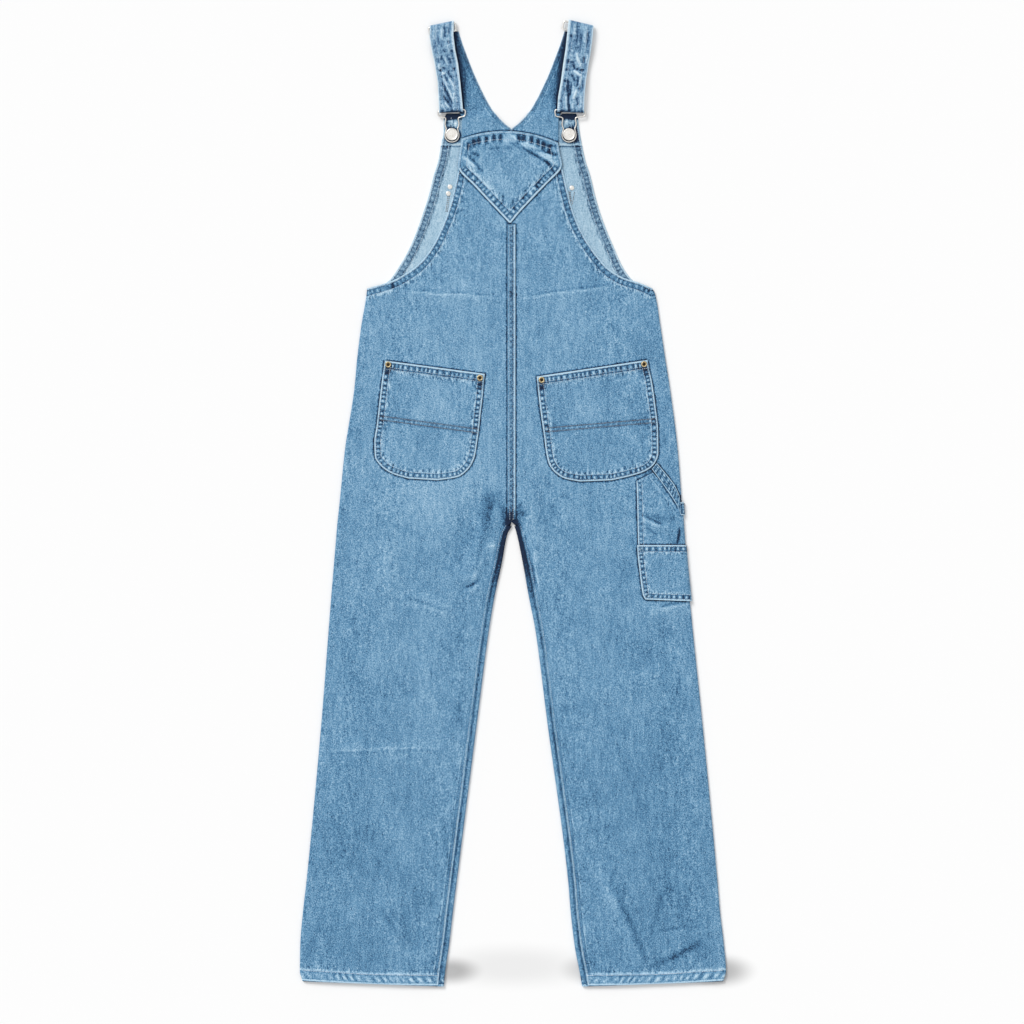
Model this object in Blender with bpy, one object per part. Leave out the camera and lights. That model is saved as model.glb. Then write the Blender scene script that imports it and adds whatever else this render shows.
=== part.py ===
"""Denim bib overalls laid flat on their front, with the back up.

Every piece that a maker cuts and sews is a closed solid of its own: a wall of cloth
that lies on, or wraps round, the piece below it. Lengths in the tables are real
millimetres. x runs across the garment from its middle, h runs up it from the lowest
point of the hems, and z is the height above the surface that it lies on.
"""

import math
from collections import namedtuple

import bmesh
import bpy

MM = 0.001

# Driving sizes of the garment
LENGTH = 1449.0
CLOTH = 1.2
SEAM_GAP = 0.3
LAY_GAP = 0.35
EDGE_RADIUS = 2.2
BODY_RISE = 1.8
CENTRE_X = -2.25
CROTCH_H = 690.0
WAIST_H = 1036.0
SIDE_TOP_H = 1046.0
BACK_TOP_H = 1254.0
HEM_SLANT = 7.5
HEM_SLANT_ENDS = 60.0
INSEAM_SETBACK = 9.0
SEAM_BAND_WIDTH = 12.0
SEAM_BAND_THICK = 1.0
SEAM_BAND_ROWS = [1030, 1060, 1090, 1120, 1142]
ARMHOLE_DROOP = math.radians(40)
SEAM_ANGLE = math.radians(5.4)
HEM_WIDTH = 16.5
HEM_RISE = 0.8
CROTCH_SETBACK = 7.0
FOLD_FADE = 22.0

# Smooth changes up the garment: from the height where they start, over a length
Blend = namedtuple("Blend", "start length")
LEGS_TO_SEAT = Blend(670, 110)
SEAT_TO_STRAPS = Blend(1060, 150)
SIDE_TO_ARMHOLE = Blend(1040, 16)
INSEAM_TO_CROTCH = Blend(600, 90)

# The outline of the legs and the seat, read across at each height
Outline = namedtuple("Outline", "h left_out left_in right_in right_out")
OUTLINE = [
    Outline(0, -315.5, -103.5, 103.5, 315.5),
    Outline(18, -319.5, -102.0, 100.5, 319.5),
    Outline(60, -319.0, -96.0, 92.5, 316.5),
    Outline(111, -315.0, -90.0, 86.5, 310.5),
    Outline(159, -309.5, -84.0, 82.5, 306.5),
    Outline(399, -287.0, -53.5, 51.0, 283.5),
    Outline(534, -276.5, -36.0, 33.5, 269.5),
    Outline(585, -272.5, -27.5, 23.5, 264.5),
    Outline(633, -268.5, -17.0, 15.0, 259.5),
    Outline(681, -264.5, -7.5, 5.0, 255.8),
    Outline(690, -263.8, -1.5, 2.2, 255.2),
    Outline(725, -260.0, CENTRE_X, CENTRE_X, 253.0),
    Outline(804, -252.0, CENTRE_X, CENTRE_X, 247.0),
    Outline(895, -238.0, CENTRE_X, CENTRE_X, 235.5),
    Outline(943, -233.5, CENTRE_X, CENTRE_X, 228.0),
    Outline(990, -227.5, CENTRE_X, CENTRE_X, 221.0),
    Outline(1038, -219.5, CENTRE_X, CENTRE_X, 213.0),
    Outline(1046, -218.8, CENTRE_X, CENTRE_X, 209.0),
]

# The armhole edges of the back, from the side seams up
Armhole = namedtuple("Armhole", "left_x left_h right_x right_h centre_h")
ARMHOLES = [
    Armhole(-218.8, 1046.0, 209.0, 1046.0, 1046),
    Armhole(-184.5, 1056.5, 190.0, 1054.5, 1066),
    Armhole(-162.0, 1068.0, 166.5, 1062.0, 1088),
    Armhole(-139.5, 1085.0, 144.0, 1075.5, 1110),
    Armhole(-120.0, 1111.5, 124.5, 1098.0, 1132),
    Armhole(-108.8, 1134.0, 105.0, 1128.0, 1156),
    Armhole(-98.6, 1159.5, 91.3, 1159.5, 1180),
    Armhole(-90.5, 1186.5, 82.2, 1192.5, 1204),
    Armhole(-82.8, 1222.0, 74.5, 1226.0, 1230),
    Armhole(-77.0, 1253.8, 66.5, 1253.8, 1253.8),
]

# The bib, from its waist seam to its top
BibRow = namedtuple("BibRow", "h left right")
BIB = [
    BibRow(1036.3, -214.0, 208.0),
    BibRow(1045, -205.0, 199.0),
    BibRow(1059, -185.0, 179.0),
    BibRow(1078, -171.5, 165.0),
    BibRow(1105, -156.0, 152.5),
    BibRow(1132, -144.5, 141.0),
    BibRow(1159, -135.0, 131.0),
    BibRow(1189, -125.5, 122.3),
    BibRow(1216, -118.8, 115.8),
    BibRow(1238, -112.0, 108.7),
    BibRow(1261.5, -108.0, 103.5),
    BibRow(1262.1, -107.9, 103.4),
    BibRow(1281, -104.0, 100.0),
    BibRow(1302, -104.0, 97.5),
]
BIB_COLUMNS = 6
BIB_HEM_H = 1261.8
BIB_SIDE_HEM = 13.0
BIB_HEM_RISE = 0.9
BIB_HEM_STEP = 0.6
BIB_DIP = 28.0
BIB_DIP_ROWS = Blend(1159, 102)
BIB_DIP_SIDES = Blend(15, 60)

# The bib pocket lies under the bib, on the surface
BIB_POCKET_X = (-99.0, 94.0)
BIB_POCKET_H = (1066.0, 1204.0)
BIB_POCKET_THICK = 0.8
BIB_DRAPE = (4.0, 30.0)

# The straps cut on with the back, as ruled lines from outer to inner edge (left side)
Rule = namedtuple("Rule", "outer_x outer_h inner_x inner_h")
SHOULDER = [
    Rule(-76.5, 1254.2, -2.4, 1254.2),
    Rule(-76.5, 1262, -2.4, 1265),
    Rule(-76.5, 1272, -2.4, 1276),
    Rule(-76.5, 1284, -2.4, 1284.5),
    Rule(-76.5, 1294, -11.5, 1292.5),
    Rule(-76.5, 1302.5, -21.5, 1302.5),
    Rule(-79.5, 1308.5, -26.0, 1308),
    Rule(-82.0, 1314, -30.5, 1313.5),
    Rule(-86.0, 1326, -38.7, 1327),
    Rule(-92.0, 1347, -51.0, 1351.5),
    Rule(-99.0, 1368, -60.3, 1372.5),
    Rule(-107.0, 1394, -69.6, 1396.5),
    Rule(-112.5, 1411, -76.0, 1413.8),
    Rule(-118.0, 1429, -81.8, 1432),
]
SHOULDER_CLOTH = 1.4
RIGHT_SHOULDER_TRIM = 7.0
RIGHT_TRIM_FADE = Blend(1290, 90)

# Top of the shoulder straps: on the back, over the bib, then on the surface
SEAT_Z = 2 * EDGE_RADIUS
OVER_BIB_Z = 3.9
SHOULDER_STEPS = ((1256, 1272, SEAT_Z, OVER_BIB_Z), (1302.5, 1314, OVER_BIB_Z, SHOULDER_CLOTH))

# The wide straps, as ruled lines at each distance from their top fold
StrapRow = namedtuple("StrapRow", "down outer_x outer_h inner_x inner_h")
STRAPS = {
    "left": [
        StrapRow(0, -124.5, 1440.0, -88.5, 1447.5),
        StrapRow(20, -124.8, 1422.0, -89.3, 1426.0),
        StrapRow(41, -121.5, 1401.5, -86.5, 1403.5),
        StrapRow(62, -117.0, 1381.0, -82.0, 1382.0),
        StrapRow(88, -112.9, 1355.5, -79.0, 1356.0),
        StrapRow(112, -111.5, 1331.5, -76.6, 1332.5),
        StrapRow(134, -110.5, 1309.0, -74.5, 1310.5),
    ],
    "right": [
        StrapRow(0, 120.9, 1440.0, 83.6, 1449.0),
        StrapRow(20, 119.5, 1422.5, 81.0, 1426.5),
        StrapRow(41, 117.0, 1402.5, 78.7, 1405.0),
        StrapRow(62, 113.5, 1382.0, 75.3, 1383.5),
        StrapRow(88, 109.3, 1356.0, 71.7, 1357.0),
        StrapRow(112, 107.2, 1332.0, 67.6, 1333.0),
        StrapRow(134, 106.5, 1309.0, 66.0, 1310.5),
    ],
}
STRAP_CLOTH = 1.8
STRAP_LENGTH = 134.0
STRAP_FOLD = 2.4
STRAP_UNDER_RUN = 30.0
STRAP_TOP_Z = (2.6, 7.4)
STRAP_SAG_Z = 5.4
STRAP_END_Z = (3.3, 8.1)
STRAP_TAIL = 18.0
STRAP_TAIL_DROP = 0.2
STRAP_RUN_STEPS = (0.1, 0.22, 0.36, 0.5, 0.64, 0.78, 0.9)
STRAP_SAG_SPAN = Blend(0.08, 0.84)
STRAP_FOLD_STEPS = 6

# The sliders inside the top folds, and the buckles with their buttons
SLIDER_WIRE = 2.4
SLIDER_SIZE = (42.0, 14.4)
SLIDER_CORNER = 2.5
SLIDER_SHOWS = {"left": 2.5, "right": 8.0}
BUTTONS = {"left": (-91.5, 1277.0), "right": (84.0, 1277.0)}
BUCKLE_WIRE = 2.2
BUCKLE_CLEAR = {"outer": 1.6, "inner": 3.4}
BarPoint = namedtuple("BarPoint", "inset drop")
BUCKLE_BAR_END = [BarPoint(9.0, 0.0), BarPoint(2.8, 0.0), BarPoint(0.8, 0.8), BarPoint(0.0, 2.8)]
WirePoint = namedtuple("WirePoint", "across up z")
BUCKLE_SHOULDER = [
    WirePoint(-0.8, 28.4, 5.5),
    WirePoint(-3.0, 26.9, 5.5),
]
BUCKLE_NECK = [
    WirePoint(13.0, 25.9, 5.4),
    WirePoint(10.0, 24.6, 5.2),
    WirePoint(9.4, 22.0, 4.8),
    WirePoint(10.4, 17.0, 4.0),
    WirePoint(9.8, 12.2, 3.6),
    WirePoint(8.5, 8.8, 3.5),
    WirePoint(10.4, 4.5, 3.5),
    WirePoint(12.2, -1.0, 3.5),
    WirePoint(11.3, -6.5, 3.5),
    WirePoint(7.0, -11.3, 3.5),
]
BUCKLE_FOOT = WirePoint(0.0, -13.2, 3.5)
Turned = namedtuple("Turned", "radius z")
BUTTON_PROFILE = [
    Turned(0.0, 2.4),
    Turned(3.6, 2.4),
    Turned(3.0, 3.0),
    Turned(3.0, 4.9),
    Turned(8.6, 4.9),
    Turned(9.3, 5.5),
    Turned(9.1, 6.4),
    Turned(8.2, 6.9),
    Turned(4.5, 7.3),
    Turned(0.0, 7.4),
]

# The patch at the crossing of the shoulder straps, from its point up
PATCH = [
    Rule(-6.0, 1144.5, -3.0, 1144.5),
    Rule(-18.5, 1158, 8.0, 1158),
    Rule(-36.5, 1177, 26.5, 1178),
    Rule(-60.0, 1202, 50.5, 1203),
    Rule(-81.0, 1224.5, 72.0, 1226),
    Rule(-82.5, 1230, 73.5, 1231),
    Rule(-80.0, 1250, 70.5, 1247),
    Rule(-77.0, 1270.5, 67.5, 1264.5),
]
PATCH_ARCH = (0, 0, 0, 0, 0, 0, 6, 14.5)

# The hip pockets, as ruled lines from left to right edge, from the mouth down
PocketRow = namedtuple("PocketRow", "left_x left_h right_x right_h")
HIP_POCKETS = {
    "left": [
        PocketRow(-192.0, 938.0, -42.0, 918.0),
        PocketRow(-193.8, 926.0, -43.5, 906.0),
        PocketRow(-196.0, 912.0, -45.5, 883.5),
        PocketRow(-200.3, 876.0, -48.5, 858.0),
        PocketRow(-204.0, 843.0, -51.0, 834.0),
        PocketRow(-207.8, 816.0, -54.0, 813.0),
        PocketRow(-207.2, 795.0, -57.0, 795.0),
        PocketRow(-198.0, 780.0, -64.5, 778.5),
        PocketRow(-180.0, 768.0, -82.5, 763.5),
        PocketRow(-156.6, 761.0, -112.5, 758.5),
    ],
    "right": [
        PocketRow(35.3, 914.0, 201.8, 939.0),
        PocketRow(36.6, 902.0, 203.6, 927.0),
        PocketRow(38.5, 883.5, 207.8, 909.0),
        PocketRow(42.5, 852.0, 213.8, 868.5),
        PocketRow(46.5, 825.0, 217.5, 834.0),
        PocketRow(49.5, 801.0, 218.0, 799.5),
        PocketRow(54.0, 782.5, 213.0, 784.5),
        PocketRow(64.5, 769.0, 198.9, 772.5),
        PocketRow(78.0, 761.0, 178.5, 765.5),
        PocketRow(100.5, 756.5, 148.5, 758.5),
    ],
}
POCKET_HEM_RISE = 0.8
RIVETS = {
    "rivet_left_outer": (-187.0, 932.0),
    "rivet_left_inner": (-49.5, 912.0),
    "rivet_right_inner": (42.8, 909.0),
    "rivet_right_outer": (196.4, 932.5),
}
RIVET_PROFILE = [Turned(0, 0), Turned(4.2, 0), Turned(4.6, 0.5), Turned(3.6, 1.2), Turned(0, 1.3)]
BIB_RIVETS = {
    "bib_rivet_left": (-94.5, 1198.5),
    "bib_rivet_left_lower": (-97.0, 1188.5),
    "bib_rivet_right": (88.2, 1197.0),
}
BIB_RIVET_PROFILE = [Turned(0, 0), Turned(3.6, 0), Turned(3.4, 0.7), Turned(1.8, 0.9), Turned(0, 0.9)]

# The side pocket panel, the tool pocket on it and the hammer loop, on the right leg
SIDE_PANEL = [
    PocketRow(185.0, 757.5, 209.5, 770.0),
    PocketRow(185.5, 744.0, 226.5, 751.0),
    PocketRow(186.0, 725.0, 240.5, 731.0),
    PocketRow(186.4, 708.0, None, 712.0),
    PocketRow(186.9, 684.0, None, 684.0),
    PocketRow(187.5, 661.0, None, 661.0),
    PocketRow(190.5, 624.0, None, 624.0),
    PocketRow(195.0, 590.0, None, 588.0),
]
TOOL_POCKET = [
    PocketRow(186.0, 661.5, None, 661.5),
    PocketRow(186.5, 650.0, None, 650.0),
    PocketRow(189.5, 622.0, None, 622.0),
    PocketRow(194.5, 587.0, None, 590.0),
    PocketRow(198.0, 580.0, None, 577.5),
]
WRAP_END = math.radians(-8)
HAMMER_LOOP = [
    PocketRow(208.0, 775.5, 215.5, 784.5),
    PocketRow(221.7, 756.6, 228.0, 769.5),
    PocketRow(237.0, 735.0, 242.3, 750.8),
    PocketRow(247.0, 719.0, 249.5, 735.5),
]
LOOP_CLOTH = 1.8
LOOP_END = (706.0, 715.8, 725.5)

# The largest folds: a line on the back, how far it reaches to each side, and its height
Fold = namedtuple("Fold", "x0 h0 x1 h1 reach height")
FOLDS = [
    Fold(-24, 715, -62, 612, 13, 1.7),
    Fold(-50, 735, -92, 640, 16, -1.0),
    Fold(16, 735, 36, 640, 13, 1.6),
    Fold(44, 745, 70, 650, 16, -0.9),
    Fold(-158, 585, -100, 562, 13, 1.5),
    Fold(-190, 668, -190, 580, 16, 1.1),
    Fold(205, 560, 262, 572, 12, 1.3),
    Fold(150, 150, 192, 32, 18, 1.6),
    Fold(-200, 125, -168, 70, 18, 1.5),
    Fold(-270, 354, -100, 350, 14, 0.9),
    Fold(120, 440, 230, 470, 20, 0.9),
    Fold(-170, 1046, -24, 1035, 12, 0.8),
    Fold(12, 1035, 153, 1053, 12, 0.8),
]

# Rows and columns of the walls
LEG_ROWS = [0, HEM_WIDTH, HEM_WIDTH + 0.7, 50, 92, 140, 195, 250, 305, 352, 400, 450, 500]
LEG_ROWS += [535, 562, 586, 610, 632, 654, 674]
SEAT_ROWS = [706, 730, 765, 805, 845, 885, 925, 965, 1003]
LEG_COLUMNS = 11
FRONT_COLUMNS = 4
ARC_STEPS = 2
WRAP_STEPS = 3
LOOP_STEPS = 4
PANEL_COLUMNS = 4
POCKET_COLUMNS = 8
WIRE_SIDES = 2


def smooth(t):
    """0 before 0, 1 after 1, and a smooth step between."""
    t = min(1.0, max(0.0, t))
    return t * t * (3 - 2 * t)


def step(at, blend):
    """How far a smooth change has gone at a height."""
    return smooth((at - blend.start) / blend.length)


def mix(a, b, t):
    """The value t of the way from a to b."""
    return a + (b - a) * t


def read(table, column, at, key="h"):
    """A column of a table at a height between its rows."""
    rows = sorted(table, key=lambda row: getattr(row, key))
    if at <= getattr(rows[0], key):
        return getattr(rows[0], column)
    for low, high in zip(rows, rows[1:]):
        if at <= getattr(high, key):
            t = (at - getattr(low, key)) / (getattr(high, key) - getattr(low, key))
            return mix(getattr(low, column), getattr(high, column), t)
    return getattr(rows[-1], column)


def outer_edge(side, h):
    """x of the garment's outline at a height, armholes included."""
    if h <= SIDE_TOP_H:
        return read(OUTLINE, side + "_out", h)
    return read(ARMHOLES, side + "_x", h, key=side + "_h")


def fold_height(x, h):
    """How far the main folds lift or lower the cloth at a place."""
    total = 0.0
    for fold in FOLDS:
        along_x, along_h = fold.x1 - fold.x0, fold.h1 - fold.h0
        length = math.hypot(along_x, along_h)
        t = ((x - fold.x0) * along_x + (h - fold.h0) * along_h) / length**2
        away = ((x - fold.x0) * along_h - (h - fold.h0) * along_x) / length
        ends = smooth((t + 0.25) / 0.4) * smooth((1.25 - t) / 0.4)
        total += fold.height * ends * math.exp(-((away / fold.reach) ** 2))
    return total


def crown(x, low, high):
    """1 in the middle of a width and 0 at its two edges."""
    if high - low < 1:
        return 0.0
    return max(0.0, 1 - abs(2 * (x - low) / (high - low) - 1) ** 3)


def back_top(x, h):
    """Height of the outer face of the back, over the legs and the seat."""
    left, right = outer_edge("left", h), outer_edge("right", h)
    if x < CENTRE_X:
        leg = crown(x, left, read(OUTLINE, "left_in", h))
    else:
        leg = crown(x, read(OUTLINE, "right_in", h), right)
    seat = crown(x, left, right)
    rise = mix(leg, seat, step(h, LEGS_TO_SEAT)) * (1 - step(h, SEAT_TO_STRAPS))
    near_edge = smooth(min(x - left, right - x) / FOLD_FADE)
    return SEAT_Z + BODY_RISE * rise + near_edge * fold_height(x, h)


def shoulder_top(h):
    """Height of the outer face of the shoulder straps."""
    (h0, h1, z0, z1), (h2, h3, _, z3) = SHOULDER_STEPS
    return mix(mix(z0, z1, smooth((h - h0) / (h1 - h0))), z3, smooth((h - h2) / (h3 - h2)))


def back_surface(x, h):
    """Height of what lies under the patch: the back, then the shoulder straps."""
    return back_top(x, h) if h < BACK_TOP_H else shoulder_top(h)


def bib_bottom(x, h):
    """The bib is lifted by the pocket under it, and drops to the surface round it."""
    out_x = max(BIB_POCKET_X[0] - x, x - BIB_POCKET_X[1], 0)
    out_h = max(BIB_POCKET_H[0] - h, h - BIB_POCKET_H[1], 0)
    drop = smooth((math.hypot(out_x, out_h) - BIB_DRAPE[0]) / (BIB_DRAPE[1] - BIB_DRAPE[0]))
    return (BIB_POCKET_THICK + SEAM_GAP) * (1 - drop)


def material(name, colour, roughness, metallic=0.0):
    """A plain finish."""
    made = bpy.data.materials.new(name)
    made.use_nodes = True
    shader = made.node_tree.nodes["Principled BSDF"]
    shader.inputs["Base Color"].default_value = (*colour, 1)
    shader.inputs["Roughness"].default_value = roughness
    shader.inputs["Metallic"].default_value = metallic
    return made


def make_object(name, mesh, finish):
    """Links a mesh to the scene as a named object."""
    made = bpy.data.objects.new(name, mesh)
    bpy.context.scene.collection.objects.link(made)
    mesh.materials.append(finish)
    return made


def place(x, h, z):
    """A point of the garment in metres."""
    return (x * MM, (h - LENGTH / 2) * MM, z * MM)


def close_outwards(bm):
    """Turns a closed mesh's faces outwards."""
    bmesh.ops.recalc_face_normals(bm, faces=bm.faces)
    if bm.calc_volume(signed=True) < 0:
        bmesh.ops.reverse_faces(bm, faces=bm.faces)


def skin(name, inner, outer, finish):
    """The closed wall between two like grids of points (x, h, z). A short row or a None leaves cells out."""
    bm = bmesh.new()
    layers = []
    for grid in (inner, outer):
        layers.append([[bm.verts.new(place(*p)) if p else None for p in row] for row in grid])
    sides = {}
    for k in range(len(inner) - 1):
        for i in range(min(len(inner[k]), len(inner[k + 1])) - 1):
            cell = ((k, i), (k, i + 1), (k + 1, i + 1), (k + 1, i))
            if any(inner[a][b] is None for a, b in cell):
                continue
            for layer in layers:
                bm.faces.new([layer[a][b] for a, b in cell])
            for start, end in zip(cell, cell[1:] + cell[:1]):
                sides.setdefault(frozenset((start, end)), []).append((start, end))
    for uses in sides.values():
        if len(uses) == 1:
            (a, b), (c, d) = uses[0]
            bm.faces.new((layers[0][a][b], layers[0][c][d], layers[1][c][d], layers[1][a][b]))
    loose = [v for v in bm.verts if not v.link_faces]
    bmesh.ops.delete(bm, geom=loose, context="VERTS")
    close_outwards(bm)
    mesh = bpy.data.meshes.new(name)
    bm.to_mesh(mesh)
    bm.free()
    return make_object(name, mesh, finish)


def plate(name, grid, bottom, thick, finish):
    """Cloth that lies on something: a grid of (x, h), with functions for its underside and thickness."""
    under = [[(x, h, bottom(x, h)) for x, h in row] for row in grid]
    over = [[(x, h, bottom(x, h) + thick(x, h)) for x, h in row] for row in grid]
    return skin(name, under, over, finish)


def turned(name, profile, x, h, z, finish, steps=20):
    """A round piece, turned from a profile of radii and heights, with its axis upright."""
    bm = bmesh.new()
    rings = []
    for point in profile:
        if point.radius == 0:
            rings.append([bm.verts.new(place(x, h, z + point.z))])
            continue
        angles = [math.tau * k / steps for k in range(steps)]
        rings.append([
            bm.verts.new(place(x + point.radius * math.cos(a), h + point.radius * math.sin(a), z + point.z))
            for a in angles
        ])
    for low, high in zip(rings, rings[1:]):
        for k in range(steps):
            corners = [low[k % len(low)], low[(k + 1) % len(low)]]
            corners += [high[(k + 1) % len(high)], high[k % len(high)]]
            bm.faces.new(list(dict.fromkeys(corners)))
    close_outwards(bm)
    mesh = bpy.data.meshes.new(name)
    bm.to_mesh(mesh)
    bm.free()
    mesh.shade_smooth()
    mesh.set_sharp_from_angle(angle=math.radians(35))
    return make_object(name, mesh, finish)


def wire_loop(name, points, diameter, finish):
    """A closed loop of bent wire through its points."""
    curve = bpy.data.curves.new(name, "CURVE")
    curve.dimensions = "3D"
    curve.bevel_depth = diameter / 2 * MM
    curve.bevel_resolution = WIRE_SIDES
    spline = curve.splines.new("POLY")
    spline.points.add(len(points) - 1)
    for spot, point in zip(spline.points, points):
        spot.co = (*place(*point), 1)
    spline.use_cyclic_u = True
    made = bpy.data.objects.new(name, curve)
    bpy.context.scene.collection.objects.link(made)
    curve.materials.append(finish)
    return made


def ruled(rows, columns):
    """A grid of (x, h) between the two ends of each row."""
    steps = [i / columns for i in range(columns + 1)]
    return [[(mix(r[0], r[2], t), mix(r[1], r[3], t)) for t in steps] for r in rows]


def edge_arc(centre, outward, h, start, end, radius, steps):
    """Points round an edge whose bend has its centre at x; angle 90 is its top, -90 its foot."""
    angles = [mix(start, end, k / steps) for k in range(steps + 1)]
    return [(centre + outward * radius * math.cos(a), h, EDGE_RADIUS + radius * math.sin(a)) for a in angles]


def leg_slant(h):
    """How much higher the hem is at the outside of a leg."""
    return HEM_SLANT * max(0.0, 1 - h / HEM_SLANT_ENDS)


def inseam_x(side, h):
    """x of the inseam on the back, where the front's wrap meets it."""
    inner = read(OUTLINE, side + "_in", h)
    outward = -1 if side == "left" else 1
    return inner + outward * mix(INSEAM_SETBACK, CROTCH_SETBACK, step(h, INSEAM_TO_CROTCH))


def hemmed(points, h, depth):
    """The outer points of a leg's row, raised where they are in the hem and clear of the surface."""
    rise = HEM_RISE / SEAT_Z if depth == 0 and h <= HEM_WIDTH else 0.0
    return [(x, y, z * (1 + rise)) for x, y, z in points]


def back_half(side, finish):
    """One half of the back: from hem to inseam, centre seam, patch and armhole."""
    outward = -1 if side == "left" else 1
    half_gap = SEAM_GAP / 2
    lines = []
    for h in LEG_ROWS + [CROTCH_H, CROTCH_H + 6] + SEAT_ROWS + [1030]:
        inner = CENTRE_X if h > CROTCH_H else inseam_x(side, h)
        lines.append((outer_edge(side, h), h + leg_slant(h), inner + outward * half_gap, h, SEAM_ANGLE))
    for row in ARMHOLES:
        x, h = getattr(row, side + "_x"), getattr(row, side + "_h")
        droop = mix(SEAM_ANGLE, ARMHOLE_DROOP, step(h, SIDE_TO_ARMHOLE))
        lines.append((x, h, CENTRE_X + outward * half_gap, row.centre_h, droop))
    layers = []
    for depth in (CLOTH, 0.0):
        grid = []
        for outer_x, outer_h, inner_x, inner_h, droop in lines:
            centre = outer_x - outward * EDGE_RADIUS
            points = edge_arc(centre, outward, outer_h, droop, math.pi / 2, EDGE_RADIUS - depth, ARC_STEPS)[:-1]
            for i in range(LEG_COLUMNS + 1):
                t = 1 - (1 - i / LEG_COLUMNS) ** 1.25
                x, h = mix(centre, inner_x, t), mix(outer_h, inner_h, t)
                points.append((x, h, back_top(x, h) - depth))
            grid.append(hemmed(points, inner_h, depth))
        layers.append(grid)
    return skin("back_" + side, *layers, finish)


def front_half(side, finish):
    """One half of the front: flat on the surface, round the inside of the leg, up to the inseam."""
    outward = -1 if side == "left" else 1
    half_gap = SEAM_GAP / 2
    foot, top = -math.pi / 2, math.pi / 2
    layers = []
    for depth in (CLOTH, 0.0):
        grid = []
        radius = EDGE_RADIUS - depth
        for h in LEG_ROWS + [CROTCH_H] + SEAT_ROWS + [WAIST_H]:
            outer_h = h + leg_slant(h)
            centre = outer_edge(side, h) - outward * EDGE_RADIUS
            points = edge_arc(centre, outward, outer_h, -SEAM_ANGLE, foot, radius, ARC_STEPS)[:-1]
            in_leg = h <= CROTCH_H
            inner = read(OUTLINE, side + "_in", h)
            end = inner + outward * EDGE_RADIUS if in_leg else CENTRE_X + outward * half_gap
            for i in range(FRONT_COLUMNS + 1):
                t = i / FRONT_COLUMNS
                points.append((mix(centre, end, t), mix(outer_h, h, t), depth))
            if in_leg:
                points += edge_arc(end, -outward, h, foot, top, radius, 2 * ARC_STEPS)[1:]
                for x in (mix(end, inseam_x(side, h), 0.5), inseam_x(side, h) - outward * half_gap):
                    points.append((x, h, back_top(x, h) - depth))
            grid.append(hemmed(points, h, depth))
        layers.append(grid)
    return skin("front_" + side, *layers, finish)


def bib(finish):
    """The bib with its hems turned to the inside, which faces up, and its top dipping in the middle."""
    grid = []
    rise = {}
    for row in BIB:
        hem_left, hem_right = row.left + BIB_SIDE_HEM, row.right - BIB_SIDE_HEM
        left = max(BIB_POCKET_X[0] - BIB_DRAPE[0], hem_left + 2 * BIB_HEM_STEP)
        right = min(BIB_POCKET_X[1] + BIB_DRAPE[0], hem_right - 2 * BIB_HEM_STEP)
        xs = [row.left, hem_left, hem_left + BIB_HEM_STEP]
        xs += [mix(left, right, i / BIB_COLUMNS) for i in range(BIB_COLUMNS + 1)]
        xs += [hem_right - BIB_HEM_STEP, hem_right, row.right]
        dip = BIB_DIP * step(row.h, BIB_DIP_ROWS)
        points = [(x, row.h - dip * (1 - step(abs(x - CENTRE_X), BIB_DIP_SIDES))) for x in xs]
        for i, point in enumerate(points):
            in_hem = row.h > BIB_HEM_H or i < 2 or i > len(points) - 3
            rise[point] = BIB_HEM_RISE if in_hem else 0.0
        grid.append(points)
    return plate("bib", grid, bib_bottom, lambda x, h: CLOTH + rise[(x, h)], finish)


def bib_pocket(finish):
    """The pocket on the bib's outer side, flat on the surface."""
    rows = [(BIB_POCKET_X[0], h, BIB_POCKET_X[1], h) for h in BIB_POCKET_H]
    return plate("bib_pocket", ruled(rows, 2), lambda x, h: 0.0, lambda x, h: BIB_POCKET_THICK, finish)


def shoulder_strap(side, finish):
    """The strap that is cut on with the back, from the patch to the slider."""
    rows = SHOULDER
    if side == "right":
        flip = 2 * CENTRE_X
        rows = []
        for r in SHOULDER:
            trim = RIGHT_SHOULDER_TRIM * (1 - step(r.outer_h, RIGHT_TRIM_FADE))
            rows.append(Rule(flip - r.outer_x - trim / 2, r.outer_h, flip - r.inner_x, r.inner_h))
    return plate(
        "shoulder_strap_" + side,
        ruled(rows, PANEL_COLUMNS),
        lambda x, h: shoulder_top(h) - SHOULDER_CLOTH,
        lambda x, h: SHOULDER_CLOTH,
        finish,
    )


def strap_path():
    """The wide strap's middle layer from the side, as (distance from its top fold, z)."""
    half = STRAP_CLOTH / 2
    top_centre = (STRAP_FOLD + half, sum(STRAP_TOP_Z) / 2)
    end_centre = (STRAP_LENGTH - STRAP_FOLD - half, sum(STRAP_END_Z) / 2)
    turns = [math.pi * k / STRAP_FOLD_STEPS for k in range(STRAP_FOLD_STEPS + 1)]
    path = [(STRAP_UNDER_RUN, STRAP_TOP_Z[0]), (STRAP_TAIL, STRAP_TOP_Z[0])]
    for a in turns:
        path.append((top_centre[0] - STRAP_FOLD * math.sin(a), top_centre[1] - STRAP_FOLD * math.cos(a)))
    for t in STRAP_RUN_STEPS:
        level = mix(STRAP_TOP_Z[1], STRAP_END_Z[1], t)
        sag = 0.5 - 0.5 * math.cos(math.tau * step(t, STRAP_SAG_SPAN))
        path.append((mix(top_centre[0], end_centre[0], t), mix(level, STRAP_SAG_Z, sag)))
    for a in turns:
        path.append((end_centre[0] + STRAP_FOLD * math.sin(a), end_centre[1] + STRAP_FOLD * math.cos(a)))
    path.append((STRAP_LENGTH - STRAP_TAIL, STRAP_END_Z[0] - STRAP_TAIL_DROP))
    path.append((STRAP_LENGTH - STRAP_UNDER_RUN, STRAP_END_Z[0] - 2 * STRAP_TAIL_DROP))
    return path


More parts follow.
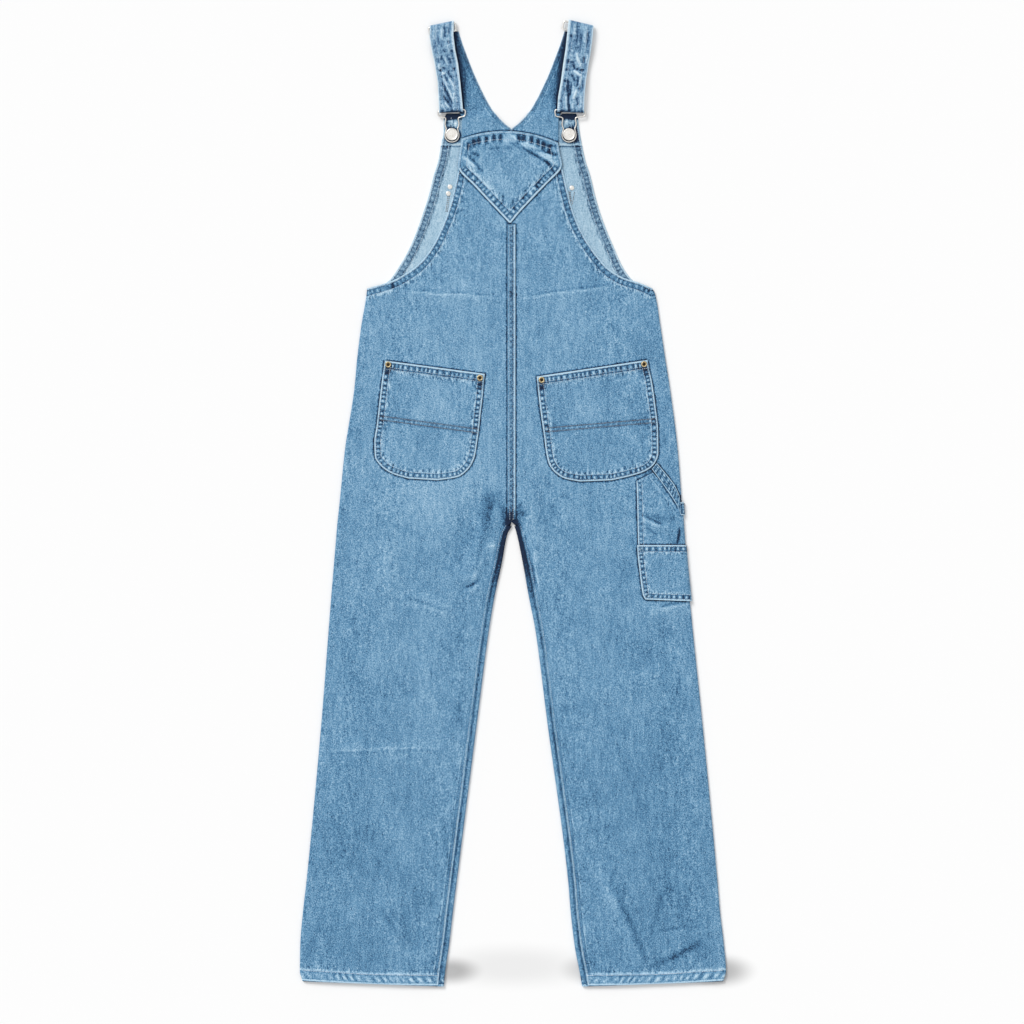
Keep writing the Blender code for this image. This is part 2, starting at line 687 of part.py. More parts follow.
def strap_line(side, down):
    """The two edges of a wide strap at a distance from its top fold, as (x, h) pairs."""
    ends = [read(STRAPS[side], c, down, key="down") for c in StrapRow._fields[1:]]
    return (ends[0], ends[1]), (ends[2], ends[3])


def wide_strap(side, finish):
    """The wide strap, folded over the slider at its top and through the buckle at its end."""
    path = strap_path()
    last = len(path) - 1
    layers = []
    for offset in (-STRAP_CLOTH / 2, STRAP_CLOTH / 2):
        grid = []
        for k, (down, z) in enumerate(path):
            before, after = path[max(k - 1, 0)], path[min(k + 1, last)]
            along = (after[0] - before[0], after[1] - before[1])
            size = math.hypot(*along)
            place_down, place_z = down - offset * along[1] / size, z + offset * along[0] / size
            edges = strap_line(side, place_down)
            grid.append([(x, h, place_z) for x, h in ruled([edges[0] + edges[1]], PANEL_COLUMNS)[0]])
        layers.append(grid)
    return skin("wide_strap_" + side, *layers, finish)


def rounded_rectangle(low_u, high_u, low_v, high_v, radius):
    """Points round a rectangle with quarter-circle corners."""
    corners = [
        (high_u - radius, high_v - radius, 0),
        (low_u + radius, high_v - radius, 90),
        (low_u + radius, low_v + radius, 180),
        (high_u - radius, low_v + radius, 270),
    ]
    points = []
    for u, v, start in corners:
        for k in range(3):
            a = math.radians(start + 45 * k)
            points.append((u + radius * math.cos(a), v + radius * math.sin(a)))
    return points


def slider(side, finish):
    """The wire slider inside the strap's top fold; one end shows past the inner edge."""
    outer, inner = strap_line(side, STRAP_FOLD + STRAP_CLOTH / 2)
    across = (inner[0] - outer[0], inner[1] - outer[1])
    size = math.hypot(*across)
    unit = (across[0] / size, across[1] / size)
    inward = 1 if side == "left" else -1
    below = (unit[1] * inward, -unit[0] * inward)
    far = size + SLIDER_SHOWS[side] - SLIDER_WIRE / 2
    near = far - (SLIDER_SIZE[0] - SLIDER_WIRE)
    placed = []
    for u, v in rounded_rectangle(near, far, 0, SLIDER_SIZE[1] - SLIDER_WIRE, SLIDER_CORNER):
        x, h = outer[0] + unit[0] * u + below[0] * v, outer[1] + unit[1] * u + below[1] * v
        placed.append((x, h, sum(STRAP_TOP_Z) / 2))
    return wire_loop("slider_" + side, placed, SLIDER_WIRE, finish)


def buckle(side, finish):
    """The wire buckle: a bar through the strap, a neck and a keyhole round the button."""
    x, h = BUTTONS[side]
    outer, inner = strap_line(side, STRAP_LENGTH - STRAP_FOLD - STRAP_CLOTH / 2)
    slope = (inner[1] - outer[1]) / (inner[0] - outer[0])
    bar_z = sum(STRAP_END_Z) / 2
    halves = []
    for end, clear in ((outer, BUCKLE_CLEAR["outer"]), (inner, BUCKLE_CLEAR["inner"])):
        way = 1 if end[0] > x else -1
        reach = abs(end[0] - x) + clear
        half = []
        for p in BUCKLE_BAR_END:
            bar_x = x + way * (reach - p.inset)
            half.append((bar_x, end[1] + slope * (bar_x - end[0]) - p.drop, bar_z))
        half += [(x + way * (reach + p.across), h + p.up, p.z) for p in BUCKLE_SHOULDER]
        half += [(x + way * p.across, h + p.up, p.z) for p in BUCKLE_NECK]
        halves.append(half)
    points = halves[0] + [(x, h + BUCKLE_FOOT.up, BUCKLE_FOOT.z)] + halves[1][::-1]
    return wire_loop("buckle_" + side, points, BUCKLE_WIRE, finish)


def back_patch(finish):
    """The pointed patch over the crossing of the shoulder straps."""
    grid = []
    for row, arch in zip(ruled(PATCH, POCKET_COLUMNS), PATCH_ARCH):
        last = len(row) - 1
        grid.append([(x, h + arch * (1 - (2 * i / last - 1) ** 2)) for i, (x, h) in enumerate(row)])
    return plate("back_patch", grid, lambda x, h: back_surface(x, h) + LAY_GAP, lambda x, h: CLOTH, finish)


def centre_seam(finish):
    """The raised lap of the centre-back seam, from the crotch to the patch."""
    half = SEAM_BAND_WIDTH / 2
    hs = [CROTCH_H + INSEAM_SETBACK] + SEAT_ROWS[1:] + SEAM_BAND_ROWS
    rows = [(CENTRE_X - half, h, CENTRE_X + half, h) for h in hs]
    return plate(
        "centre_back_seam",
        ruled(rows, 2),
        lambda x, h: back_top(x, h) + LAY_GAP,
        lambda x, h: SEAM_BAND_THICK,
        finish,
    )


def hip_pocket(side, finish):
    """A hip pocket, thicker along its hemmed mouth."""
    grid = ruled(HIP_POCKETS[side], POCKET_COLUMNS)
    mouth = {point: POCKET_HEM_RISE if k < 2 else 0.0 for k, row in enumerate(grid) for point in row}
    return plate(
        "hip_pocket_" + side,
        grid,
        lambda x, h: back_top(x, h) + LAY_GAP,
        lambda x, h: CLOTH + mouth[(x, h)],
        finish,
    )


def wrapped_panel(name, rows, below, finish):
    """A panel on the right leg that lies on the back and turns down over the leg's side."""
    layers = []
    for depth in (0.0, CLOTH):
        lift = below + LAY_GAP + depth
        grid = []
        for row in rows:
            wraps = row.right_x is None
            edge = outer_edge("right", row.right_h) - EDGE_RADIUS if wraps else row.right_x
            flat = ruled([(row.left_x, row.left_h, edge, row.right_h)], PANEL_COLUMNS)[0]
            points = [(x, h, back_top(x, h) + lift) for x, h in flat]
            turn = edge_arc(edge, 1, row.right_h, math.pi / 2, WRAP_END, EDGE_RADIUS + lift, WRAP_STEPS)[1:]
            grid.append(points + (turn if wraps else [None] * len(turn)))
        layers.append(grid)
    return skin(name, *layers, finish)


def hammer_loop(finish):
    """The loop from the hip pocket's corner, over the side of the leg."""
    layers = []
    for depth in (0.0, LOOP_CLOTH):
        lift = CLOTH + 2 * LAY_GAP + depth
        grid = [[(x, h, back_top(x, h) + lift) for x, h in ruled([row], 2)[0]] for row in HAMMER_LOOP]
        for k in range(LOOP_STEPS + 1):
            angle = mix(math.pi / 2, WRAP_END, k / LOOP_STEPS)
            points = []
            for h in LOOP_END:
                edge = outer_edge("right", h) - EDGE_RADIUS
                points += edge_arc(edge, 1, h, angle, angle, EDGE_RADIUS + lift, 1)[:1]
            grid.append(points)
        layers.append(grid)
    return skin("hammer_loop", *layers, finish)


def build():
    """Every piece of the overalls, each in its own finish."""
    for old in list(bpy.data.objects):
        bpy.data.objects.remove(old)
    denim = material("washed denim", (0.22, 0.40, 0.60), 0.85)
    reverse = material("denim reverse", (0.42, 0.55, 0.68), 0.85)
    pale = material("worn denim", (0.34, 0.52, 0.70), 0.85)
    nickel = material("nickel-plated steel", (0.72, 0.72, 0.70), 0.3, 1.0)
    brass = material("antique brass", (0.45, 0.34, 0.20), 0.4, 1.0)
    for side in ("left", "right"):
        front_half(side, denim)
        back_half(side, denim)
        shoulder_strap(side, denim)
        wide_strap(side, pale)
        slider(side, nickel)
        buckle(side, nickel)
        x, h = BUTTONS[side]
        turned("button_" + side, BUTTON_PROFILE, x, h, 0, nickel, steps=24)
        hip_pocket(side, denim)
    bib(reverse)
    bib_pocket(denim)
    back_patch(denim)
    centre_seam(denim)
    wrapped_panel("side_pocket_panel", SIDE_PANEL, 0.0, denim)
    wrapped_panel("tool_pocket", TOOL_POCKET, CLOTH + LAY_GAP, denim)
    hammer_loop(denim)
    for name, (x, h) in RIVETS.items():
        seat = back_top(x, h) + 2 * LAY_GAP + CLOTH + POCKET_HEM_RISE
        turned(name, RIVET_PROFILE, x, h, seat, brass, steps=12)
    for name, (x, h) in BIB_RIVETS.items():
        seat = bib_bottom(x, h) + CLOTH + SEAM_GAP
        turned(name, BIB_RIVET_PROFILE, x, h, seat, nickel, steps=12)


build()
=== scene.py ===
"""Looks of a pair of denim bib overalls that lie flat on their front, with the back up.

Every piece of cloth is a closed wall between two grids of points, on the place of its
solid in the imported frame. Lengths in the tables are real millimetres: x runs across the
garment from its middle, h runs up it from the lowest point of the hems, and z is the
height above the surface that it lies on.
"""

from __future__ import annotations

import logging
import math
from collections.abc import Callable
from dataclasses import dataclass, field
from enum import StrEnum
from functools import partial

import bpy
import numpy as np
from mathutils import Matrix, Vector
from mathutils.bvhtree import BVHTree

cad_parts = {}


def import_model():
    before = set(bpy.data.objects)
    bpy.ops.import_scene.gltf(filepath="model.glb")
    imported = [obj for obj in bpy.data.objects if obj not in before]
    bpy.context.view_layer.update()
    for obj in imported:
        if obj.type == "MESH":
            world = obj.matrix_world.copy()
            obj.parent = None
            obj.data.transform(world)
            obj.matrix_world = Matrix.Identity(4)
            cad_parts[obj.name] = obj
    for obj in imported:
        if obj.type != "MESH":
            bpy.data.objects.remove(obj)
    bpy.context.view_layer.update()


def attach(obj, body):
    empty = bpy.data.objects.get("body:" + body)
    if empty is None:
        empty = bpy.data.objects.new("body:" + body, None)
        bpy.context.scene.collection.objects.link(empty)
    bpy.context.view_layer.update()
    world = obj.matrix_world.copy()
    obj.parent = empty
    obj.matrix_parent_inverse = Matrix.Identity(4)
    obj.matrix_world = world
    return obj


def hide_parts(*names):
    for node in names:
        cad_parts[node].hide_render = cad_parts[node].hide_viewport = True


LOG = logging.getLogger("overalls")

Array = np.ndarray
Material = bpy.types.Material
Piece = bpy.types.Object
Adder = Callable[..., bpy.types.Node]

MM = 0.001
LENGTH = 1449.0
CLOTH = 1.2
SEAM_GAP = 0.3
LAY_GAP = 0.35
EDGE_RADIUS = 2.2
SEAT_Z = 2 * EDGE_RADIUS
BODY_RISE = 1.8
CENTRE_X = -2.25
CROTCH_H = 690.0
WAIST_H = 1036.0
SIDE_TOP_H = 1046.0
BACK_TOP_H = 1254.0
ARMHOLE_DROOP = math.radians(40)
SEAM_ANGLE = math.radians(5.4)
HEM_WIDTH = 16.5
HEM_RISE = 0.8
HEM_SLANT = 7.5
FAR_ROW = 9.5
SEAM_STEP = 1000
NO_CONTACT = 30.0
OPEN_CLOTH = 60.0


class Side(StrEnum):
    """A side of the garment as the picture shows it."""

    LEFT = "left"
    RIGHT = "right"

    @property
    def outward(self) -> int:
        """The sign of x on this side."""
        return -1 if self is Side.LEFT else 1


# The outline of the legs and the seat: h, left outside, left inside, right inside, right outside
OUTLINE = np.array([
    (0, -315.5, -103.5, 103.5, 315.5), (18, -319.5, -102, 100.5, 319.5),
    (60, -319, -96, 92.5, 316.5), (111, -315, -90, 86.5, 310.5),
    (159, -309.5, -84, 82.5, 306.5), (399, -287, -53.5, 51, 283.5),
    (534, -276.5, -36, 33.5, 269.5), (585, -272.5, -27.5, 23.5, 264.5),
    (633, -268.5, -17, 15, 259.5), (681, -264.5, -7.5, 5, 255.8), (690, -263.8, -1.5, 2.2, 255.2),
    (725, -260, CENTRE_X, CENTRE_X, 253), (804, -252, CENTRE_X, CENTRE_X, 247),
    (895, -238, CENTRE_X, CENTRE_X, 235.5), (943, -233.5, CENTRE_X, CENTRE_X, 228),
    (990, -227.5, CENTRE_X, CENTRE_X, 221), (1038, -219.5, CENTRE_X, CENTRE_X, 213),
    (1046, -218.8, CENTRE_X, CENTRE_X, 209),
])

# The armhole edges: left x and h, right x and h, and where that row meets the middle
ARMHOLES = np.array([
    (-218.8, 1046, 209, 1046, 1046), (-184.5, 1056.5, 190, 1054.5, 1066),
    (-162, 1068, 166.5, 1062, 1088), (-139.5, 1085, 144, 1075.5, 1110),
    (-120, 1111.5, 124.5, 1098, 1132), (-108.8, 1134, 105, 1128, 1156),
    (-98.6, 1159.5, 91.3, 1159.5, 1180), (-90.5, 1186.5, 82.2, 1192.5, 1204),
    (-82.8, 1222, 74.5, 1226, 1230), (-77, 1253.8, 66.5, 1253.8, 1253.8),
])

# The bib from its waist seam to its top: h, left edge, right edge
BIB = np.array([
    (1036.3, -214, 208), (1045, -205, 199), (1059, -185, 179), (1078, -171.5, 165),
    (1105, -156, 152.5), (1132, -144.5, 141), (1159, -135, 131), (1189, -125.5, 122.3),
    (1216, -118.8, 115.8), (1238, -112, 108.7), (1262, -107.9, 103.4), (1281, -104, 100),
    (1302, -104, 97.5),
])

# The strap cut on with the back, left side: outer x and h, inner x and h
SHOULDER = np.array([
    (-76.5, 1254.2, -2.4, 1254.2), (-76.5, 1262, -2.4, 1265), (-76.5, 1272, -2.4, 1276),
    (-76.5, 1284, -2.4, 1284.5), (-76.5, 1294, -11.5, 1292.5), (-76.5, 1302.5, -21.5, 1302.5),
    (-79.5, 1308.5, -26, 1308), (-82, 1314, -30.5, 1313.5), (-86, 1326, -38.7, 1327),
    (-92, 1347, -51, 1351.5), (-99, 1368, -60.3, 1372.5), (-107, 1394, -69.6, 1396.5),
    (-112.5, 1411, -76, 1413.8), (-118, 1429, -81.8, 1432),
])

# The pointed patch, from its point up: left x and h, right x and h
PATCH = np.array([
    (-6, 1144.5, -3, 1144.5), (-18.5, 1158, 8, 1158), (-36.5, 1177, 26.5, 1178),
    (-60, 1202, 50.5, 1203), (-81, 1224.5, 72, 1226), (-82.5, 1230, 73.5, 1231),
    (-80, 1250, 70.5, 1247), (-77, 1270.5, 67.5, 1264.5),
])
PATCH_ARCH = np.array([0, 0, 0, 0, 0, 0, 6, 14.5])

# Middles of the dark tucks between the two rows of stitches along the patch's top: x, h
TUCKS = np.array([
    (-66, 1259), (-58.5, 1264.5), (-51, 1267), (-39.8, 1268.3), (-28.5, 1270.5), (-18.8, 1271.3),
    (9, 1270.5), (16.5, 1272), (27.8, 1269), (37.5, 1264.5), (45.8, 1260), (55, 1255),
])

# Wrinkles of the patch: from x0, h0 to x1, h1, reach, height
WRINKLES = np.array([
    (-74, 1243, -56, 1228, 2.2, 1.3), (-68, 1247, -47, 1222, 2.5, -1),
    (-62, 1250, -50, 1244, 2.2, -1.1), (-70, 1236, -30, 1188, 2.4, 0.5), (20, 1263, 62, 1240, 2.6, 1),
    (16, 1256, 56, 1232, 2.5, -1.1), (30, 1255, 66, 1246, 2.2, -1.2), (44, 1262, 64, 1259, 2, -1),
    (40, 1247, 66, 1232, 2, 1), (48, 1240, 62, 1222, 2.3, -1), (-4, 1277, 22, 1256, 1.6, 0.9),
    (-8, 1270, 10, 1256, 2, -0.5), (-36, 1256, -20, 1257, 2, -0.6), (-12, 1257, -2, 1256, 2, -0.7),
    (2, 1164, 0, 1180, 2.2, -0.9), (14, 1180, 22, 1196, 2.2, -1), (-16, 1172, -14, 1186, 2.2, -0.9),
    (34, 1196, 44, 1216, 2.4, -0.8), (24, 1190, 32, 1198, 1.8, 1), (-40, 1200, -36, 1214, 2.6, 0.4),
    (-24, 1240, -10, 1200, 5, 0.25),
])

# The large folds and, after them, the smaller creases: from x0, h0 to x1, h1, reach, height
FOLDS = np.array([
    (-24, 715, -62, 612, 13, 1.7), (-50, 735, -92, 640, 16, -1), (16, 735, 36, 640, 13, 1.6),
    (44, 745, 70, 650, 16, -0.9), (-158, 585, -100, 562, 13, 1.5), (-190, 668, -190, 580, 16, 1.1),
    (205, 560, 262, 572, 12, 1.3), (150, 150, 192, 32, 18, 1.6), (-200, 125, -168, 70, 18, 1.5),
    (-270, 354, -100, 350, 14, 0.9), (120, 440, 230, 470, 20, 0.9), (-170, 1046, -24, 1035, 12, 0.8),
    (12, 1035, 153, 1053, 12, 0.8),
])
CREASES = np.array([
    (-72, 597, -52, 609, 4, -1.1), (-66, 590, -48, 600, 5, 0.8), (-36, 664, -27, 655, 6, 0.8),
    (30, 660, 38, 600, 4, 0.7), (24, 640, 30, 590, 5, -0.8), (-30, 690, -52, 640, 5, -0.9),
    (-159, 580, -128, 570, 4, -0.9), (228, 152, 282, 40, 9, -0.8), (214, 32, 284, 62, 9, -0.45),
    (-168, 1051, -30, 1041, 4, -0.5), (14, 1041, 150, 1059, 4, -0.5), (-265, 349, -110, 345, 5, -0.4),
    (188, 700, 224, 684, 5, 0.7), (192, 708, 230, 692, 4, -0.6), (-250, 500, -190, 470, 9, 0.5),
    (-240, 430, -150, 445, 10, -0.4), (-130, 480, -80, 420, 9, 0.5), (90, 560, 150, 600, 10, 0.5),
    (140, 520, 210, 500, 11, -0.4), (100, 380, 130, 300, 10, 0.5), (-230, 250, -160, 220, 12, 0.5),
    (-290, 60, -230, 110, 9, 0.5), (-150, 60, -120, 130, 9, -0.5), (250, 260, 200, 330, 12, 0.5),
    (140, 60, 118, 130, 8, 0.5), (-200, 1000, -120, 985, 12, 0.4), (60, 995, 150, 975, 12, 0.4),
    (-60, 900, -20, 860, 8, 0.4),
])


def smooth(t: Array | float) -> Array:
    """0 before 0, 1 after 1, and a smooth step between."""
    t = np.clip(t, 0.0, 1.0)
    return t * t * (3 - 2 * t)


def peak(away: Array, reach: float, power: int = 2) -> Array:
    """1 at no distance, falling smoothly to 0 some way past its reach; a high power gives it a flat top."""
    return np.exp(-((away / reach) ** power))


def spot(dx: Array, dh: Array, wide: float, high: float, power: int = 2) -> Array:
    """A soft round spot, 1 in its middle, from the distances to its middle and its reach across and up."""
    return np.exp(-((dx / wide) ** power) - (dh / high) ** power)


def curve(at: Array, xs: Array, ys: Array) -> Array:
    """Reads a table on a smooth curve that never overshoots its points.

    Args:
        at: Where it is read.
        xs: Places of the points, rising.
        ys: Values at the points.

    Returns:
        The values at those places.
    """
    at = np.clip(np.asarray(at, float), xs[0], xs[-1])
    gap = np.diff(xs)
    rate = np.diff(ys) / gap
    slope = np.zeros_like(xs)
    with np.errstate(divide="ignore", invalid="ignore"):
        inner = 2 / (1 / rate[:-1] + 1 / rate[1:])
    slope[1:-1] = np.where(rate[:-1] * rate[1:] > 0, inner, 0.0)
    slope[0], slope[-1] = rate[0], rate[-1]
    k = np.clip(np.searchsorted(xs, at, side="right") - 1, 0, len(xs) - 2)
    t = (at - xs[k]) / gap[k]
    start = (1 + 2 * t) * (1 - t) ** 2 * ys[k] + t * (1 - t) ** 2 * gap[k] * slope[k]
    return start + t**2 * (3 - 2 * t) * ys[k + 1] - t**2 * (1 - t) * gap[k] * slope[k + 1]


def spaced(size: float, pitch: float, edges: tuple[bool, bool] = (True, True)) -> Array:
    """Places across a size, from 0 to 1, closer together at the edges that are rolled.

    Args:
        size: The size in millimetres.
        pitch: Distance between the places, away from the edges.
        edges: Whether the start and the end are rolled edges.

    Returns:
        The places, rising from 0 to 1.
    """
    close = np.array([0.0, 0.25, 0.7, 1.5])
    start = close if edges[0] else close[:1]
    end = size - (close if edges[1] else close[:1])[::-1]
    count = max(2, round((end[0] - start[-1]) / pitch))
    middle = np.linspace(start[-1], end[0], count + 1)[1:-1]
    return np.concatenate([start, middle, end]) / size


def resampled(table: Array, places: Array) -> Array:
    """Rows of a table at places along it, from 0 at its first row to 1 at its last.

    Args:
        table: One row of values after another.
        places: Where along it, counted by the distance that its columns move.

    Returns:
        The rows at those places.
    """
    moved = np.abs(np.diff(table, axis=0)).max(axis=1)
    along = np.concatenate([[0.0], np.cumsum(moved)]) / moved.sum()
    return np.stack([curve(places, along, table[:, c]) for c in range(table.shape[1])], axis=1)


def ruled(rows: Array, across: Array) -> Array:
    """A grid of x and h between the two ends of each row, at places across it from 0 to 1."""
    start, end = rows[:, None, :2], rows[:, None, 2:4]
    return start + (end - start) * across[None, :, None]


@dataclass(frozen=True)
class SeamPath:
    """An edge or a stitched line on the cloth.

    Attributes:
        points: Its points, x and h.
        band: Distance from the edge to the far row of stitches.
        strength: How plainly its lines show, from 0 to 1.
        pucker: How much it has drawn up the cloth, from 0 to 1.
    """

    points: Array
    band: float = 9.5
    strength: float = 1.0
    pucker: float = 1.0

    def nearest(self, x: Array, h: Array) -> tuple[Array, Array]:
        """How far along the path the nearest point lies, and how far away it is.

        Args:
            x: Places across the garment.
            h: Places up the garment.

        Returns:
            The distances along and away, in the shape of x.
        """
        start, step = self.points[:-1], np.diff(self.points, axis=0)
        size = np.hypot(*step.T)
        before = np.concatenate([[0.0], np.cumsum(size)[:-1]])
        best, where = np.full(x.shape, 1e9), np.zeros(x.shape)
        for (x0, h0), (dx, dh), length, far in zip(start, step, size, before):
            t = np.clip(((x - x0) * dx + (h - h0) * dh) / max(length, 1e-9) ** 2, 0, 1)
            away = np.hypot(x - x0 - t * dx, h - h0 - t * dh)
            closer = away < best
            best, where = np.where(closer, away, best), np.where(closer, far + t * length, where)
        return where, best


def seam_field(paths: list[SeamPath], x: Array, h: Array) -> Array:
    """What the finish needs to draw a seam: distance along, distance away, strength and pucker.

    Args:
        paths: The seams of a piece.
        x: Places across the garment.
        h: Places up the garment.

    Returns:
        Four values for each place, for the nearest seam. The distance away is scaled so
        that the far row of stitches is always at FAR_ROW.
    """
    along, away = np.zeros(x.shape), np.full(x.shape, OPEN_CLOTH)
    strength, pucker = np.zeros(x.shape), np.zeros(x.shape)
    for number, path in enumerate(paths):
        where, far = path.nearest(x, h)
        far = far * FAR_ROW / path.band
        closer = far < away
        along = np.where(closer, where + SEAM_STEP * number, along)
        away = np.where(closer, far, away)
        strength = np.where(closer, path.strength, strength)
        pucker = np.where(closer, path.pucker, pucker)
    return np.stack([along, away, strength, pucker], axis=-1)


def ridge(
    x: Array, h: Array, line: Array, past: float, fade: float, bow: tuple[float, ...] = (0, 0, 0),
) -> Array:
    """A soft ridge, 1 along its line and 0 away from it.

    Args:
        x: Places across.
        h: Places up.
        line: Its two ends, x0, h0, x1 and h1, and its reach to either side.
        past: How far it runs past both ends, as a share of its length.
        fade: Over what share of its length an end fades.
        bow: How far, how often and from where it swings to the sides.

    Returns:
        Its strength at each place.
    """
    x0, h0, x1, h1, reach = line
    dx, dh = x1 - x0, h1 - h0
    length = math.hypot(dx, dh)
    t = ((x - x0) * dx + (h - h0) * dh) / length**2
    away = ((x - x0) * dh - (h - h0) * dx) / length + bow[0] * np.sin(bow[1] * t + bow[2])
    return smooth((t + past) / fade) * smooth((1 + past - t) / fade) * peak(away, reach)


def creased(x: Array, h: Array) -> Array:
    """How far the folds and creases lift or lower the cloth.

    Args:
        x: Places across the garment.
        h: Places up the garment.

    Returns:
        The lift in millimetres.
    """
    total = np.zeros(np.broadcast(x, h).shape)
    for *line, height in np.concatenate([FOLDS, CREASES]):
        bow = (0.12 * line[4], 4.3, 0.013 * line[0] + 0.02 * line[1])
        total += height * ridge(x, h, line, 0.25, 0.4, bow)
    return total


def armhole(side: Side) -> Array:
    """The armhole's edge on one side: x, h and the height at which that row meets the middle."""
    return ARMHOLES[:, (0, 1, 4) if side is Side.LEFT else (2, 3, 4)]


class Body:
    """The surface of the laid garment: its outline and the height of its outer face."""

    @staticmethod
    def outline(column: int, h: Array) -> Array:
        """x of one of the four edges of the legs and the seat at a height."""
        return curve(h, OUTLINE[:, 0], OUTLINE[:, column])

    @staticmethod
    def outer(side: Side, h: Array) -> Array:
        """x of the garment's outline at a height, armholes included.

        Args:
            side: The side.
            h: Heights.

        Returns:
            x at each height.
        """
        h = np.asarray(h, float)
        edge = armhole(side)
        low = Body.outline(1 if side is Side.LEFT else 4, h)
        return np.where(h <= SIDE_TOP_H, low, curve(h, edge[:, 1], edge[:, 0]))

    @staticmethod
    def inner(side: Side, h: Array) -> Array:
        """x of the inside edge of a leg at a height."""
        return Body.outline(2 if side is Side.LEFT else 3, h)

    @staticmethod
    def crown(x: Array, low: Array, high: Array) -> Array:
        """1 in the middle of a width and 0 at its two edges."""
        wide = np.maximum(high - low, 1.0)
        return np.where(high - low < 1, 0.0, np.maximum(0.0, 1 - np.abs(2 * (x - low) / wide - 1) ** 3))

    @staticmethod
    def top(x: Array, h: Array) -> Array:
        """Height of the outer face of the back, over the legs and the seat.

        Args:
            x: Places across the garment.
            h: Places up the garment.

        Returns:
            Heights in millimetres.
        """
        x, h = np.broadcast_arrays(np.asarray(x, float), np.asarray(h, float))
        left, right = Body.outer(Side.LEFT, h), Body.outer(Side.RIGHT, h)
        low = np.where(x < CENTRE_X, left, Body.inner(Side.RIGHT, h))
        high = np.where(x < CENTRE_X, Body.inner(Side.LEFT, h), right)
        seat = smooth((h - 670) / 110)
        rise = Body.crown(x, low, high) * (1 - seat) + Body.crown(x, left, right) * seat
        rise *= 1 - smooth((h - 1060) / 150)
        return SEAT_Z + BODY_RISE * rise + smooth(np.minimum(x - left, right - x) / 22) * creased(x, h)

    @staticmethod
    def strap_top(h: Array) -> Array:
        """Height of the outer face of the shoulder straps: on the back, over the bib, then low."""
        over = SEAT_Z + (3.9 - SEAT_Z) * smooth((h - 1256) / 16)
        return over + (1.4 - over) * smooth((h - 1302.5) / 11.5)

    @staticmethod
    def under_patch(x: Array, h: Array) -> Array:
        """Height of what lies under the patch: the back, then the shoulder straps."""
        return np.where(h < BACK_TOP_H, Body.top(x, h), Body.strap_top(h))

    @staticmethod
    def bib_foot(x: Array, h: Array) -> Array:
        """Height of the bib's lower face, lifted by the pocket under it.

        Args:
            x: Places across the garment.
            h: Places up the garment.

        Returns:
            Heights in millimetres.
        """
        out_x = np.maximum(np.maximum(-99.0 - x, x - 94.0), 0)
        out_h = np.maximum(np.maximum(1066.0 - h, h - 1204.0), 0)
        return 1.1 * (1 - smooth((np.hypot(out_x, out_h) - 4) / 26))

    @staticmethod
    def inseam(side: Side, h: Array) -> Array:
        """x of the inseam on the back, where the front's wrap meets it."""
        return Body.inner(side, h) + side.outward * (9.0 - 2.0 * smooth((np.asarray(h, float) - 600) / 90))


def drawn_up(seam: Array) -> Array:
    """Lift of the outer face where a seam has drawn up the cloth between its stitches.

    The finish draws the same waves, from the same sines, in Denim.puckers.

    Args:
        seam: The seam field at each place.

    Returns:
        The lift in millimetres.
    """
    along, away, strength, pucker = np.moveaxis(seam, -1, 0)
    waves = np.sin(0.84 * along + 1.7 * np.sin(0.13 * along) + 1.1 * np.sin(0.041 * along + 1.9))
    between = smooth((away - 1.8) / 2.2) * smooth((10.5 - away) / 2.5)
    valley = peak(away - 2.2, 0.9) + peak(away - FAR_ROW, 1.1)
    return 0.28 * pucker * waves * between - 0.18 * strength * valley


def rolled(away: Array, radius: float = 0.9) -> Array:
    """How much of its thickness a rolled edge has at a distance from the edge, from 0 to 1."""
    return 0.2 + 0.8 * np.sqrt(1 - (1 - np.clip(away / radius, 0, 1)) ** 2)


def outside(points: Array, x: Array, h: Array) -> Array:
    """Distance outside a closed outline, negative within it.

    Args:
        points: The outline's points, the last one joined to the first.
        x: Places across the garment.
        h: Places up the garment.

    Returns:
        The distances in millimetres.
    """
    ring = closed(points)
    within = np.zeros(x.shape, bool)
    for (x0, h0), (x1, h1) in zip(ring, ring[1:]):
        if h0 != h1:
            within ^= ((h0 > h) != (h1 > h)) & (x < (x1 - x0) * (h - h0) / (h1 - h0) + x0)
    away = SeamPath(ring).nearest(x, h)[1]
    return np.where(within, -away, away)


def contact_of(over: list[Array], x: Array, h: Array) -> Array:
    """Distance from the nearest of the pieces that lie on the cloth.

    Args:
        over: Closed outlines of the pieces.
        x: Places across the garment.
        h: Places up the garment.

    Returns:
        The distances in millimetres.
    """
    contact = np.full(x.shape, NO_CONTACT)
    for points in over:
        contact = np.minimum(contact, outside(points, x, h))
    return contact


def closed(points: Array) -> Array:
    """A path that returns to its first point."""
    return np.concatenate([points, points[:1]])


def outline_of(rows: Array) -> Array:
    """The closed outline of a ruled piece, from the start of its first row and round it."""
    return np.concatenate([rows[:, :2], rows[::-1, 2:4]])


